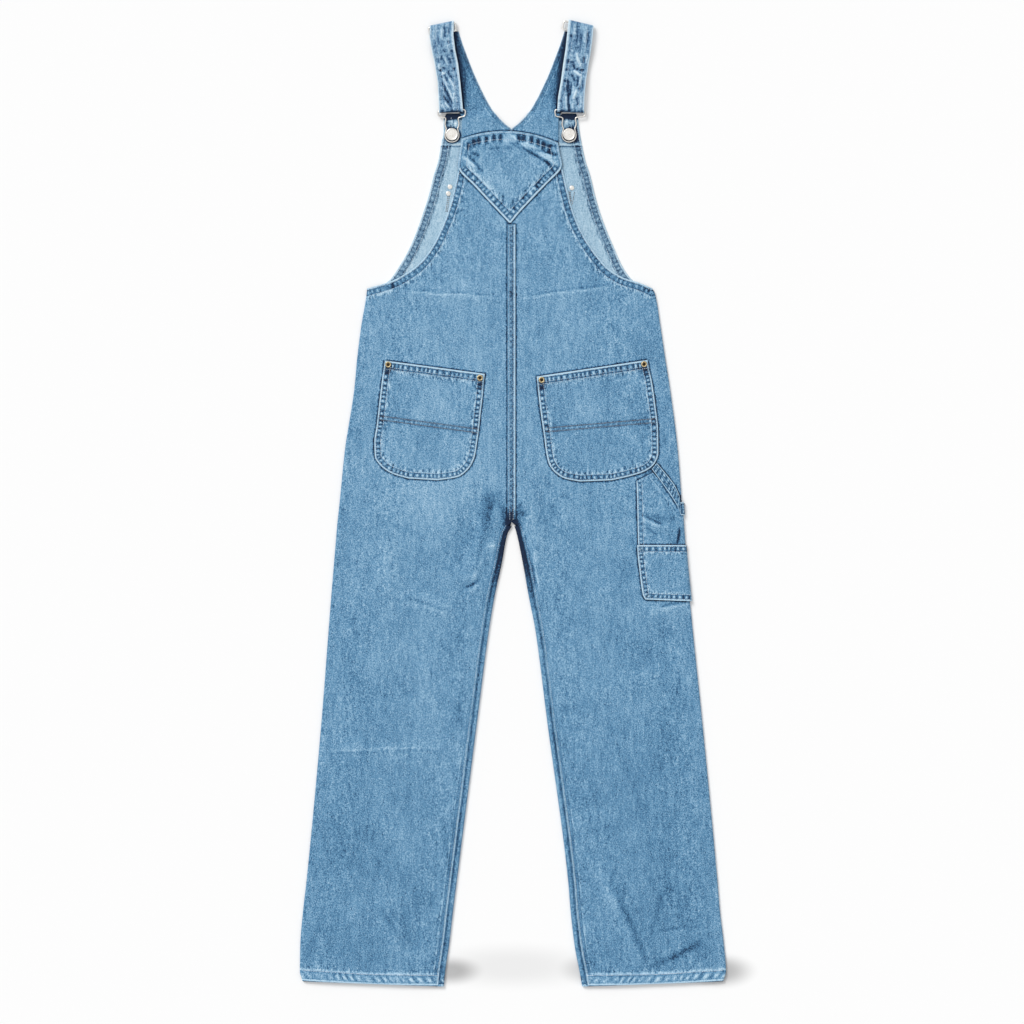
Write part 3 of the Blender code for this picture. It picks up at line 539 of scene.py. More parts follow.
@dataclass
class Wall:
    """A closed wall of cloth between two like grids of points.

    Attributes:
        name: The piece's name.
        inner: Points of its lower or inner face, x, h and z; where one isn't a number, there is no cloth.
        outer: Points of its outer face.
        seam: The seam field at each point.
        shade: Paler, above 0, or darker, below 0, from the wash and from painted light and shade at the
            folds, creases and seams.
        contact: Distance from the outline of whatever lies on it, beside which the finish paints shade.
    """

    name: str
    inner: Array
    outer: Array
    seam: Array
    shade: Array
    contact: Array

    def build(self, finish: Material) -> Piece:
        """Makes the mesh with its fields as attributes.

        Args:
            finish: The material of the cloth.

        Returns:
            The piece.
        """
        rows, columns = self.outer.shape[:2]
        here = ~np.isnan(self.outer[..., 0])
        ids = np.arange(rows * columns).reshape(rows, columns)
        whole = here[:-1, :-1] & here[:-1, 1:] & here[1:, 1:] & here[1:, :-1]
        corners = (ids[:-1, :-1], ids[:-1, 1:], ids[1:, 1:], ids[1:, :-1])
        faces = np.stack([c[whole] for c in corners], axis=1)
        count = rows * columns
        start, end = faces.ravel(), np.roll(faces, -1, axis=1).ravel()
        rim = ~np.isin(start * count + end, end * count + start)
        a, b = start[rim], end[rim]
        edging = np.stack([b, a, a + count, b + count], axis=1)
        quads = np.concatenate([faces, faces[:, ::-1] + count, edging])
        points = np.nan_to_num(np.concatenate([self.outer.reshape(-1, 3), self.inner.reshape(-1, 3)]))
        p = points[quads]
        halves = ((p[:, 0], p[:, 1], p[:, 2]), (p[:, 0], p[:, 2], p[:, 3]))
        if sum(np.einsum("ij,ij->", u, np.cross(v, w)) for u, v, w in halves) < 0:
            quads = quads[:, ::-1]
        used, quads = np.unique(quads, return_inverse=True)
        quads = quads.reshape(-1, 4)
        mesh = bpy.data.meshes.new(self.name)
        mesh.from_pydata(placed(points[used]), [], quads)
        for title, values in (("seam", self.seam), ("shade", self.shade), ("contact", self.contact)):
            kind = "FLOAT_COLOR" if values.ndim == 3 else "FLOAT"
            both = np.concatenate([values.reshape(count, -1)] * 2)[used]
            layer = mesh.attributes.new(title, kind, "POINT")
            layer.data.foreach_set("color" if values.ndim == 3 else "value", np.nan_to_num(both).ravel())
        mesh.shade_smooth()
        mesh.set_sharp_from_angle(angle=math.radians(55))
        return linked(self.name, mesh, finish)


def placed(points: Array) -> Array:
    """Points of the garment in metres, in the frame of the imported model."""
    return (points - np.array([0.0, LENGTH / 2, 0.0])) * MM


def tube(ids: Array) -> Array:
    """Faces round a tube, from the numbers of the points on each of its rings."""
    right = np.roll(ids, -1, axis=1)
    return np.stack([ids[:-1], right[:-1], right[1:], ids[1:]], axis=-1).reshape(-1, 4)


def linked(name: str, mesh: bpy.types.Mesh, finish: Material) -> Piece:
    """Adds a mesh to the scene as a named object with its finish.

    Args:
        name: The object's name.
        mesh: The mesh.
        finish: Its material.

    Returns:
        The object.
    """
    made = bpy.data.objects.new(name, mesh)
    bpy.context.scene.collection.objects.link(made)
    mesh.materials.append(finish)
    return made


def linear(colour: str) -> tuple[float, float, float, float]:
    """An sRGB hex colour as linear values with full opacity."""
    parts = [int(colour[k:k + 2], 16) / 255 for k in (1, 3, 5)]
    return (*[c / 12.92 if c <= 0.04045 else ((c + 0.055) / 1.055) ** 2.4 for c in parts], 1.0)


def add_node(tree: bpy.types.NodeTree, kind: str, *inputs: object, **settings: object) -> bpy.types.Node:
    """Adds a node with its inputs and settings.

    Args:
        tree: The node tree.
        kind: The node's type, without its leading "ShaderNode".
        inputs: For each input in order, a node or an output to link, a value, or None to leave it.
        settings: Properties of the node; a name that is an input's, with _ for a space, sets that input.

    Returns:
        The node.
    """
    node = tree.nodes.new("ShaderNode" + kind)
    named = {}
    for key, value in settings.items():
        if hasattr(node, key):
            setattr(node, key, value)
        else:
            named[key.replace("_", " ")] = value
    sockets = [(node.inputs[k], value) for k, value in enumerate(inputs)]
    sockets += [(node.inputs[key], value) for key, value in named.items()]
    for socket, value in sockets:
        if isinstance(value, bpy.types.Node):
            tree.links.new(value.outputs[0], socket)
        elif isinstance(value, bpy.types.NodeSocket):
            tree.links.new(value, socket)
        elif value is not None:
            socket.default_value = value
    return node


def started(name: str) -> tuple[Material, Adder, bpy.types.NodeSocket]:
    """Starts a new material without nodes.

    Args:
        name: The material's name.

    Returns:
        The material, what adds nodes to it, and the place on the object for its patterns.
    """
    made = bpy.data.materials.new(name)
    made.use_nodes = True
    made.node_tree.nodes.clear()
    node = partial(add_node, made.node_tree)
    return made, node, node("TexCoord").outputs["Object"]


def set_ramp(node: bpy.types.Node, stops: list[tuple[float, str | float]]) -> bpy.types.Node:
    """Gives a colour ramp its stops.

    Args:
        node: The ramp.
        stops: For each stop, its place and a hex colour or a grey value.

    Returns:
        The ramp.
    """
    ramp = node.color_ramp
    while len(ramp.elements) < len(stops):
        ramp.elements.new(0.5)
    for element, (place, value) in zip(ramp.elements, stops):
        element.position = place
        element.color = linear(value) if isinstance(value, str) else (value, value, value, 1.0)
    return node


@dataclass(frozen=True)
class Denim:
    """Cotton twill with an indigo warp and a white weft, washed until its edges and creases are pale.

    To the eye it is a mottled blue: long pale streaks along the warp where the yarn is
    uneven, a fine salt-and-pepper grain, and pale ridges beside dark dips at every seam.

    Attributes:
        name: The material's name.
        deep: Colour of the dips and of cloth that the wash hasn't reached.
        mid: Colour of the open cloth.
        pale: Colour of the worn edges.
        grain: Strength of the mottling.
        relief: Depth of the puckers in millimetres.
        crinkle: Strength of the slanted crinkles.
    """

    name: str
    deep: str
    mid: str
    pale: str
    grain: float = 1.0
    relief: float = 0.35
    crinkle: float = 0.46

    # Patterns of the cloth: scale per millimetre, turn, detail, roughness, distortion. Real warp yarns are
    # 0.5 mm apart, far below a pixel here, so the finest grain is drawn 2 mm wide
    NOISES = {
        "pepper": ((0.68, 0.6, 0.8), 0.55, 2.0, 0.7, 0.4),
        "slub": ((0.36, 0.16, 0.3), -0.05, 3.0, 0.65, 0.0),
        "streak": ((0.3, 0.024, 0.2), 0.0, 2.0, 0.5, 0.0),
        "crinkle": ((0.15, 0.05, 0.1), 0.75, 3.0, 0.6, 0.6),
        "wash": ((0.02, 0.011, 0.01), 0.0, 2.0, 0.5, 0.0),
        "gather": ((0.4, 0.15, 0.1), 0.62, 2.0, 0.6, 0.8),
    }
    WEIGHTS = {"pepper": 1.75, "slub": 0.34, "streak": 0.2}

    def puckers(self, node: Adder, along: bpy.types.NodeSocket) -> bpy.types.Node:
        """Waves along a seam, from -1 to 1, the same as in drawn_up.

        Args:
            node: What adds nodes to the material.
            along: Distance along the seam in millimetres.

        Returns:
            The node that gives the waves.
        """
        quick = node("Math", node("Math", along, 0.13, operation="MULTIPLY"), operation="SINE")
        slow = node("Math", node("Math", along, 0.041, 1.9, operation="MULTIPLY_ADD"), operation="SINE")
        phase = node("Math", quick, 1.7, operation="MULTIPLY")
        for wave, weight in ((slow, 1.1), (along, 0.84)):
            phase = node("Math", wave, weight, phase, operation="MULTIPLY_ADD")
        return node("Math", phase, operation="SINE")

    def build(self) -> Material:
        """Makes the material.

        Returns:
            The material.
        """
        made, node, place = started(self.name)
        size = node("VectorMath", place, operation="SCALE", Scale=1000.0)
        noise = {}
        for title, (scale, turn, detail, roughness, distortion) in self.NOISES.items():
            spread = node("Mapping", size, Scale=scale, Rotation=(0, 0, turn))
            pattern = {"Detail": detail, "Roughness": roughness, "Distortion": distortion}
            noise[title] = node("TexNoise", spread, Scale=1.0, **pattern)
        slub, crinkle = noise["slub"], noise["crinkle"]
        total, centre = 0.0, 0.5
        for title, weight in (*self.WEIGHTS.items(), ("crinkle", self.crinkle), ("wash", 0.22)):
            amount = weight * self.grain
            centre -= 0.5 * amount
            total = node("Math", noise[title], amount, total, operation="MULTIPLY_ADD")
        field = node("Attribute", attribute_name="seam")
        along, away, strength = node("SeparateXYZ", field.outputs["Vector"]).outputs
        pucker = field.outputs["Alpha"]
        uneven = node("Math", slub, 2.6, -1.3, operation="MULTIPLY_ADD")
        away = node("Math", away, uneven, operation="ADD")
        across = node("Math", away, 0.05, operation="MULTIPLY")
        waves = self.puckers(node, along)
        # Places are millimetres from the edge over 20: worn edge, stitches, puckers, stitches, open cloth;
        # the dark rows at the stitches are painted shade in the dips that they pull in
        line = set_ramp(node("ValToRGB", across), [
            (0.0, 0.95), (0.08, 0.92), (0.11, 0.28), (0.14, 0.26), (0.18, 0.38), (0.38, 0.38),
            (0.44, 0.28), (0.5, 0.7), (0.55, 0.62), (0.62, 0.5),
        ])
        dots = set_ramp(node("ValToRGB", across), [
            (0.15, 0.0), (0.22, 0.8), (0.27, 1.0), (0.32, 0.8), (0.39, 0.0),
        ])
        between = set_ramp(node("ValToRGB", across), [
            (0.06, 0.0), (0.14, 0.7), (0.2, 1.0), (0.4, 1.0), (0.5, 0.6), (0.6, 0.0),
        ])
        crest = node("Math", waves, 0.0, operation="MAXIMUM")
        crest = node("Math", crest, dots, operation="MULTIPLY")
        dip = node("Math", waves, 0.0, operation="MINIMUM")
        dip = node("Math", dip, 0.45, operation="MULTIPLY")
        drawn = node("Math", dip, between, crest, operation="MULTIPLY_ADD")
        drawn = node("Math", drawn, pucker, operation="MULTIPLY")
        uneven_pull = node("MapRange", crinkle, 0.3, 0.7, 0.35, 1.5)
        drawn = node("Math", drawn, uneven_pull, operation="MULTIPLY")
        # Short slanted crinkles that run into the cloth from each row of stitches
        gather = node("Math", noise["gather"], -0.5, operation="ADD")
        reach = set_ramp(node("ValToRGB", across), [(0.46, 0.0), (0.53, 1.0), (0.66, 0.6), (0.88, 0.0)])
        gather = node("Math", gather, reach, operation="MULTIPLY")
        gather = node("Math", gather, strength, operation="MULTIPLY")
        lines = node("Math", line, -0.5, operation="ADD")
        lines = node("Math", lines, strength, operation="MULTIPLY")
        for part, weight in ((lines, 1.2), (drawn, 0.62), (gather, 2.6)):
            total = node("Math", part, weight, total, operation="MULTIPLY_ADD")
        shade = node("Attribute", attribute_name="shade").outputs["Fac"]
        # Painted shade on the cloth beside the pieces that lie on it, darkest at their outlines
        contact = node("Attribute", attribute_name="contact").outputs["Fac"]
        contact = node("Math", uneven, 1.4, contact, operation="MULTIPLY_ADD")
        contact = node("MapRange", contact, 0.4, 3.2, -0.62, 0.0)
        for part in (shade, centre, contact):
            total = node("Math", total, part, operation="ADD")
        # The darkest stop is for the painted shade in the crotch and beside the pieces that lie on the
        # cloth
        colour = set_ramp(node("ValToRGB", total), [
            (0.0, "#14253f"), (0.16, self.deep), (0.5, self.mid), (1.0, self.pale),
        ])
        height = node("Math", slub, 0.22, operation="MULTIPLY")
        for part, weight in ((noise["pepper"], 0.16), (crinkle, 0.9)):
            height = node("Math", part, weight, height, operation="MULTIPLY_ADD")
        raised = node("Math", drawn, self.relief, operation="MULTIPLY")
        for part, weight in ((lines, 0.5), (gather, 1.2)):
            raised = node("Math", part, weight, raised, operation="MULTIPLY_ADD")
        height = node("Math", height, raised, operation="ADD")
        bump = node("Bump", Strength=1.0, Distance=MM, Height=height)
        # Dyed cotton is dull, with a faint sheen from the loose fibres that stand up from it
        shader = node(
            "BsdfPrincipled", colour, Roughness=0.88, IOR=1.5, Sheen_Weight=0.06, Sheen_Roughness=0.5,
            Specular_IOR_Level=0.25, Normal=bump,
        )
        node("OutputMaterial", shader)
        return made


# Wash and shadow tones laid on the cloth: x, h, reach across, reach up, paler above 0
TONES = np.array([
    (-110, 900, 110, 190, 0.07), (110, 900, 110, 170, 0.05), (0, 1160, 90, 80, 0.06),
    (-120, 740, 90, 60, 0.09), (-220, 160, 130, 170, -0.07), (215, 200, 120, 260, -0.06),
    (-140, 330, 60, 220, 0.03), (-3, 700, 10, 13, -0.9), (11, 712, 4, 9, -0.35), (-17, 718, 4, 12, -0.4),
    (-38, 726, 7, 18, -0.16), (-34, 700, 9, 26, -0.16), (-46, 640, 9, 22, -0.14), (-3, 1038, 4, 6, -0.3),
    (-31, 661, 5, 1.6, 0.35), (-222, 1044, 4, 5, -0.5), (-180, 1049, 4, 5, -0.45),
    (205, 1047, 8, 6, -0.35), (-189, 1042, 8, 3, 0.2),
])

# Crisp creases, painted as lines of shade beside pale lines of highlight: from x0, h0 to x1, h1, reach,
# tone
CRISP = np.array([
    (150, 170, 206, 34, 11, -0.15), (206, 26, 285, 66, 6, -0.2), (-196, 130, -150, 60, 11, -0.1),
    (249, 688, 246, 662, 1.8, -0.7), (200, 706, 246, 698, 4, -0.2), (-120, 470, -70, 380, 12, -0.08),
    (-40, 735, -44, 660, 6, -0.12), (226, 738, 244, 716, 1.6, 0.3), (205, 752, 235, 722, 2, -0.15),
    (-20, 744, -36, 712, 3, -0.22), (-36, 712, -46, 676, 3.2, -0.2), (-46, 676, -58, 618, 3.4, -0.16),
    (-72, 597, -52, 609, 1.5, -0.5), (-66, 592, -50, 604, 1.4, 0.28), (-38, 662, -26, 660, 1.2, 0.4),
    (-44, 656, -50, 628, 1.3, 0.3), (-50, 632, -64, 604, 1.4, 0.22), (8, 726, 24, 690, 1.5, -0.4),
    (24, 690, 34, 664, 1.3, -0.3), (20, 705, 34, 668, 1.2, 0.22), (30, 654, 40, 596, 1.3, 0.34),
    (26, 640, 36, 600, 1.4, -0.3), (34, 660, 37, 640, 1.2, -0.3), (-159, 584, -99, 561, 1.8, -0.24),
    (-159, 580, -99, 557, 1.6, 0.18), (-169, 1047, -24, 1035, 1.8, -0.2),
    (-169, 1043, -24, 1031, 1.8, 0.2), (12, 1034, 153, 1054, 1.8, -0.18),
    (12, 1030, 153, 1050, 1.8, 0.18), (-290, 354, -104, 357, 1.8, 0.14),
    (-290, 350, -104, 353, 1.8, -0.13), (192, 709, 225, 691, 1.6, -0.35), (192, 704, 222, 687, 1.4, 0.3),
    (190, 698, 215, 676, 1.5, -0.25), (228, 152, 204, 70, 3, -0.14), (150, 150, 206, 26, 3.4, -0.2),
    (158, 150, 214, 30, 3, 0.12), (208, 30, 280, 62, 3.4, -0.12), (206, 25, 278, 56, 3, 0.08),
    (-200, 122, -170, 76, 3, -0.18), (-194, 122, -164, 76, 2.6, 0.12),
    (-200, 700, -120, 668, 2.4, -0.1), (48, 700, 120, 640, 1.6, -0.12), (52, 690, 124, 632, 1.6, 0.1),
    (60, 640, 110, 580, 1.6, -0.12), (150, 640, 180, 610, 1.8, -0.12), (70, 740, 92, 724, 1.4, -0.2),
    (130, 560, 168, 530, 1.8, -0.1), (-190, 665, -188, 585, 3, 0.1), (-184, 665, -182, 585, 3, -0.08),
    (100, 470, 180, 440, 2, -0.08), (-120, 520, -60, 470, 2, -0.1),
    (-250, 470, -180, 430, 2.4, -0.08), (-110, 260, -90, 160, 3, -0.1), (216, 84, 266, 89, 2, -0.18),
    (-100, 990, -60, 950, 2, -0.08), (50, 1000, 80, 960, 2, -0.08), (217, 81, 266, 85, 1.6, 0.12),
    (217, 570, 264, 576, 2, -0.3), (217, 566, 264, 572, 1.8, 0.22),
])


def toned(x: Array, h: Array) -> Array:
    """How pale or dark the cloth is: the wash's tones, with painted highlight on the ridges and painted
    shade in the dips of the folds and creases, and painted shade in the crotch and along the inside of the
    legs near it.

    Args:
        x: Places across the garment.
        h: Places up the garment.

    Returns:
        Values above 0 where it is paler, and below 0 where it is darker.
    """
    # Painted highlight on the ridges of the folds and creases, painted shade in their dips
    total = 0.05 * creased(x, h)
    for *line, amount in CRISP:
        total += amount * ridge(x, h, line, 0.1, 0.35, (0.9, 4.1, 0.05 * line[0]))
    # Painted shade along the inside of the legs near the crotch
    inner = np.minimum(*(np.abs(x - Body.inner(side, h)) for side in Side))
    total -= 0.8 * smooth((h - 555) / 110) * smooth((705 - h) / 14) * peak(inner, 8.5)
    for x0, h0, wide, high, amount in TONES:
        total += amount * spot(x - x0, h - h0, wide, high)
    return total


def laid(
    name: str,
    grid: Array,
    foot: Array,
    thick: Array | float,
    paths: list[SeamPath],
    shade: Array | float = 0.0,
    over: list[Array] = (),
) -> Wall:
    """A flat piece of cloth that lies on something, with rolled edges and drawn-up seams.

    Args:
        name: The piece's name.
        grid: Its points, x and h, whose border is its outline.
        foot: Height of its lower face at each point.
        thick: Its thickness at each point.
        paths: Its seams.
        shade: Tone added to the garment's own.
        over: Closed outlines of what lies on it.

    Returns:
        The wall.
    """
    x, h = grid[..., 0], grid[..., 1]
    border = np.concatenate([grid[0], grid[1:, -1], grid[-1, -2::-1], grid[-2:0:-1, 0]])
    away = SeamPath(closed(border)).nearest(x, h)[1]
    seam = seam_field(paths, x, h)
    lift = thick * rolled(away) + drawn_up(seam) * smooth(away / 1.5)
    upper = np.dstack([x, h, foot + np.maximum(lift, 0.15)])
    return Wall(name, np.dstack([x, h, foot]), upper, seam, toned(x, h) + shade, contact_of(over, x, h))


@dataclass(frozen=True)
class Thread:
    """Cotton-wrapped sewing thread: dull, a little hairy, and paler where the wash has rubbed it.

    Attributes:
        name: The material's name.
        colour: Colour of its top.
        worn: Colour where it is rubbed.
    """

    name: str
    colour: str
    worn: str

    def build(self) -> Material:
        """Makes the material.

        Returns:
            The material.
        """
        made, node, place = started(self.name)
        # One in three stitches is rubbed pale, so the spots are about 5 mm wide
        rubbed = node("TexNoise", place, Scale=260.0, Detail=2.0, Roughness=0.6)
        colour = set_ramp(node("ValToRGB", rubbed), [(0.42, self.colour), (0.62, self.worn)])
        shader = node("BsdfPrincipled", colour, Roughness=0.8, Sheen_Weight=0.1)
        node("OutputMaterial", shader)
        return made


@dataclass
class Stitching:
    """Rows of lockstitch on a piece: short rounded lengths of thread that dive into the cloth.

    Attributes:
        rows: The path of each row and its inset.
        thread: The sewing thread.
        pitch: Distance from one stitch to the next.
        length: Length of the thread that shows.
        radius: Radius of the thread.
        place: What the rows' name says of where they run.
    """

    rows: list[tuple[Array, float]]
    thread: Material
    pitch: float = 3.2
    length: float = 2.5
    radius: float = 0.36
    place: str = ""

    SIDES = 6

    def row(self, points: Array, inset: float) -> Array:
        """Stitches along both sides of a path; those that miss the cloth are left out later.

        Args:
            points: The path, x and h.
            inset: Distance of the rows from it.

        Returns:
            For each stitch, x and h of its middle and its direction.
        """
        step = np.diff(points, axis=0)
        size = np.hypot(*step.T)
        points, step, size = points[np.append(True, size > 1e-6)], step[size > 1e-6], size[size > 1e-6]
        far = np.concatenate([[0.0], np.cumsum(size)])
        at = np.arange(self.pitch / 2, far[-1], self.pitch)
        k = np.clip(np.searchsorted(far, at, side="right") - 1, 0, len(size) - 1)
        way = step[k] / size[k][:, None]
        middle = points[k] + way * (at - far[k])[:, None]
        away = inset * np.stack([-way[:, 1], way[:, 0]], axis=1)
        places = np.concatenate([middle + away, middle - away])
        clear = SeamPath(points).nearest(places[:, 0], places[:, 1])[1]
        return np.concatenate([places, np.concatenate([way, way])], axis=1)[clear > inset - 0.2]

    def sew(self, piece: Piece, slot: str) -> None:
        """Lays the stitches on the upper face of a piece, as one mesh that goes with it.

        Args:
            piece: The cloth that they are sewn through.
            slot: Not used.
        """
        mesh = piece.data
        tree = BVHTree.FromPolygons([v.co for v in mesh.vertices], [f.vertices for f in mesh.polygons])
        stitches = []
        for x, h, dx, dh in np.concatenate([self.row(*row) for row in self.rows]):
            above = placed(np.array([x, h, 60.0]))
            hit = tree.ray_cast(Vector(above), Vector((0, 0, -1)))[0]
            if hit is not None:
                stitches.append((x, h, hit.z / MM, dx, dh))
        x, h, z, dx, dh = np.array(stitches).T[:, :, None, None]
        along = np.array([-0.5, -0.38, 0.0, 0.38, 0.5])[None, :, None] * self.length
        thick = np.array([0.4, 0.9, 1.0, 0.9, 0.4])[None, :, None] * self.radius
        dive = np.array([-0.5, 0.05, 0.25, 0.05, -0.5])[None, :, None] * self.radius
        turn = np.linspace(0, math.tau, self.SIDES + 1)[:-1][None, None, :]
        out, up = thick * np.cos(turn), thick * np.sin(turn) + dive
        spread = [x + along * dx - out * dh, h + along * dh + out * dx, z + up + 0 * along]
        points = np.stack(spread, axis=-1)
        count = len(points)
        each = self.SIDES * along.size
        ids = np.arange(each).reshape(-1, self.SIDES)
        ends = np.array([(0, 5, 4, 1), (1, 4, 3, 2), (24, 25, 28, 29), (25, 26, 27, 28)])
        quads = np.concatenate([tube(ids), ends])
        faces = (quads[None] + each * np.arange(count)[:, None, None]).reshape(-1, 4)
        sewn = bpy.data.meshes.new(f"{piece.name}_{self.place}{self.thread.name.split()[-1]}_stitches")
        sewn.from_pydata(placed(points.reshape(-1, 3)), [], faces)
        sewn.shade_smooth()
        made = linked(sewn.name, sewn, self.thread)
        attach(made, "root")
        LOG.info("%s: %d stitches", made.name, count)


def dressed(
    wall: Wall,
    finish: Material,
    seams: list[Stitching],
    slot: str = "washed_denim",
) -> None:
    """Builds a piece of cloth, sews it, and tells the frame what it is and which solid it replaces.

    Args:
        wall: The cloth, named for its solid.
        finish: The denim.
        seams: The stitches through it.
        slot: Name of its finish's slot, passed on to the stitching.
    """
    piece = wall.build(finish)
    for stitching in seams:
        stitching.sew(piece, slot)
    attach(piece, "root")
    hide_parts(wall.name.removesuffix("_cloth"))


@dataclass
class Legs:
    """The two halves of the back and the two halves of the front, each one leg and half the seat.

    Attributes:
        leg_pitch: Distance between rows.
        column_pitch: Distance between columns, away from the edges.
        armhole_band: Width of the hem round the armholes.
        inseam_band: Width of the felled inseam.
        over: For each side, the closed outlines of what lies on the back.
    """

    leg_pitch: float = 3.0
    column_pitch: float = 5.0
    armhole_band: float = 11.5
    inseam_band: float = 7.5
    over: dict[Side, list[Array]] = field(default_factory=dict)

    def seams(self, side: Side) -> list[SeamPath]:
        """The seams of one half of the back.

        Args:
            side: The side.

        Returns:
            The seams of the armhole, the inseam and the hem.
        """
        outer, inner = Body.outer(side, 0.0), Body.inseam(side, 0.0)
        out = side.outward
        hem = np.array([(outer, HEM_SLANT), (outer - out * 100, 1.5), (inner, 0), (inner - out * 12, 0)])
        arm = resampled(armhole(side)[:, :2], np.linspace(0, 1, 60))
        h = np.linspace(0, CROTCH_H, 60)
        inseam = np.stack([Body.inseam(side, h), h], axis=1)
        return [
            SeamPath(arm, self.armhole_band, strength=1.05, pucker=0.5),
            SeamPath(inseam[::-1], self.inseam_band, strength=0.7, pucker=0.0),
            SeamPath(hem, HEM_WIDTH, strength=0.7, pucker=0.85),
        ]

    def fields(self, side: Side, x: Array, h: Array) -> Array:
        """The seam field of one half, whose hem puckers are slanted and wide apart.

        Args:
            side: The side.
            x: Places across the garment.
            h: Places up the garment.

        Returns:
            The seam field.
        """
        seam = seam_field(self.seams(side), x, h)
        in_seam = (seam[..., 0] >= SEAM_STEP) & (seam[..., 0] < 2 * SEAM_STEP)
        seam[..., 2] *= np.where(in_seam, 1 - 0.75 * smooth((h - 200) / 250), 1.0)
        in_hem = (seam[..., 0] >= 2 * SEAM_STEP) & (h < 30)
        roped = (seam[..., 0] - 2 * SEAM_STEP + 0.7 * h) * 0.66
        seam[..., 0] = np.where(in_hem, roped, seam[..., 0])
        seam[..., 3] *= np.where(in_hem, 0.78 + 0.42 * np.sin(0.09 * x + 1.9 * np.sin(0.031 * x)), 1.0)
        return seam

    def rows(self, top: float, pitch: float) -> Array:
        """Heights of the rows from the hem up to a height.

        Args:
            top: The height of the last row.
            pitch: Distance between rows.

        Returns:
            The heights.
        """
        hem = np.array([0, 0.25, 0.7, 1.5, 3.2, 5, 6.8, 8.6, 10.4, 12.2, 14, 15.4, 16.5, 17.2, 18.6, 20.5])
        leg = np.linspace(20.5, CROTCH_H, round((CROTCH_H - 20.5) / pitch) + 1)[1:]
        seat = np.linspace(CROTCH_H + 6, top, round((top - CROTCH_H - 6) / pitch) + 1)
        return np.concatenate([hem, leg, seat])

    @staticmethod
    def arc(centre: Array, outward: int, angles: Array, radius: float) -> tuple[Array, Array]:
        """x and z round an edge, for each row's centre and each column's angle."""
        x = centre[:, None] + outward * radius * np.cos(angles)
        return x, EDGE_RADIUS + radius * np.sin(angles) + 0 * x

    @staticmethod
    def hemmed(z: Array, h: Array) -> Array:
        """Raises the outer face within the hem."""
        rise = 1 + HEM_RISE / SEAT_Z * (1 - smooth((h - 16.3) / 1.0))
        return z * rise

    def back(self, side: Side, finish: Material, thread: Material) -> None:
        """One half of the back.

        Args:
            side: Its side.
            finish: The denim.
            thread: The sewing thread.
        """
        outward = side.outward
        low = self.rows(SIDE_TOP_H - 3, self.leg_pitch)
        arm = resampled(armhole(side), np.linspace(0, 1, 106))
        slant = HEM_SLANT * np.maximum(0, 1 - low / 60)
        inner_low = np.where(low > CROTCH_H, CENTRE_X, Body.inseam(side, low))
        outer_x = np.concatenate([Body.outer(side, low), arm[:, 0]])
        outer_h = np.concatenate([low + slant, arm[:, 1]])
        inner_h = np.concatenate([low, arm[:, 2]])
        inner_x = np.concatenate([inner_low, np.full(len(arm), CENTRE_X)]) + outward * SEAM_GAP / 2
        droop = SEAM_ANGLE + (ARMHOLE_DROOP - SEAM_ANGLE) * smooth((outer_h - 1040) / 16)
        droop[:len(low)] = SEAM_ANGLE
        wide = 215.0
        near = np.array([0, 1.4, 2.8, 4.4, 6.2, 8.2, 10.4, 12.8, 16, 20])
        far = wide - np.array([10.5, 8, 6, 4.2, 2.6, 1.2, 0])
        count = round((far[0] - near[-1]) / self.column_pitch)
        across = np.concatenate([near, np.linspace(near[-1], far[0], count + 1)[1:-1], far]) / wide
        layers = []
        for depth in (CLOTH, 0.0):
            centre = outer_x - outward * EDGE_RADIUS
            turn = np.linspace(0, 1, 5)[:-1]
            angles = droop[:, None] + (math.pi / 2 - droop[:, None]) * turn
            arc_x, arc_z = self.arc(centre, outward, angles, EDGE_RADIUS - depth)
            x = centre[:, None] + (inner_x - centre)[:, None] * across
            h = outer_h[:, None] + (inner_h - outer_h)[:, None] * across
            z = Body.top(x, h) - depth
            xs, zs = np.concatenate([arc_x, x], axis=1), np.concatenate([arc_z, z], axis=1)
            hs = np.concatenate([np.repeat(outer_h[:, None], 4, axis=1), h], axis=1)
            if depth == 0:
                seam = self.fields(side, xs, hs)
                zs = self.hemmed(zs, inner_h[:, None]) + drawn_up(seam)
                zs -= 0.9 * (1 - rolled(inner_h[:, None])) * CLOTH
            layers.append(np.dstack([xs, hs, zs]))
        edge = self.seams(side)[2].nearest(xs, hs)[1]
        shade = toned(xs, hs) + 0.22 * (1 - smooth((edge - 15) / 2)) + 0.3 * peak(edge - 18.3, 1.2)
        # Pale 3 mm in from the hem's edge, and painted shadow along the edge itself
        shade += 0.3 * peak(edge - 3, 1.2) - 1.4 * peak(edge, 1.4)
        wall = Wall(f"back_{side}_cloth", *layers, seam, shade, contact_of(self.over[side], xs, hs))
        arm_edge, inseam, hem = (path.points for path in self.seams(side))
        rows = [(arm_edge, 2.8), (arm_edge, self.armhole_band), (inseam, 2.2)]
        coarse = Stitching([(hem, HEM_WIDTH)], thread, pitch=3.6, length=3.2, radius=0.6, place="hem_")
        seams = [Stitching(rows, thread), coarse]
        dressed(wall, finish, seams)

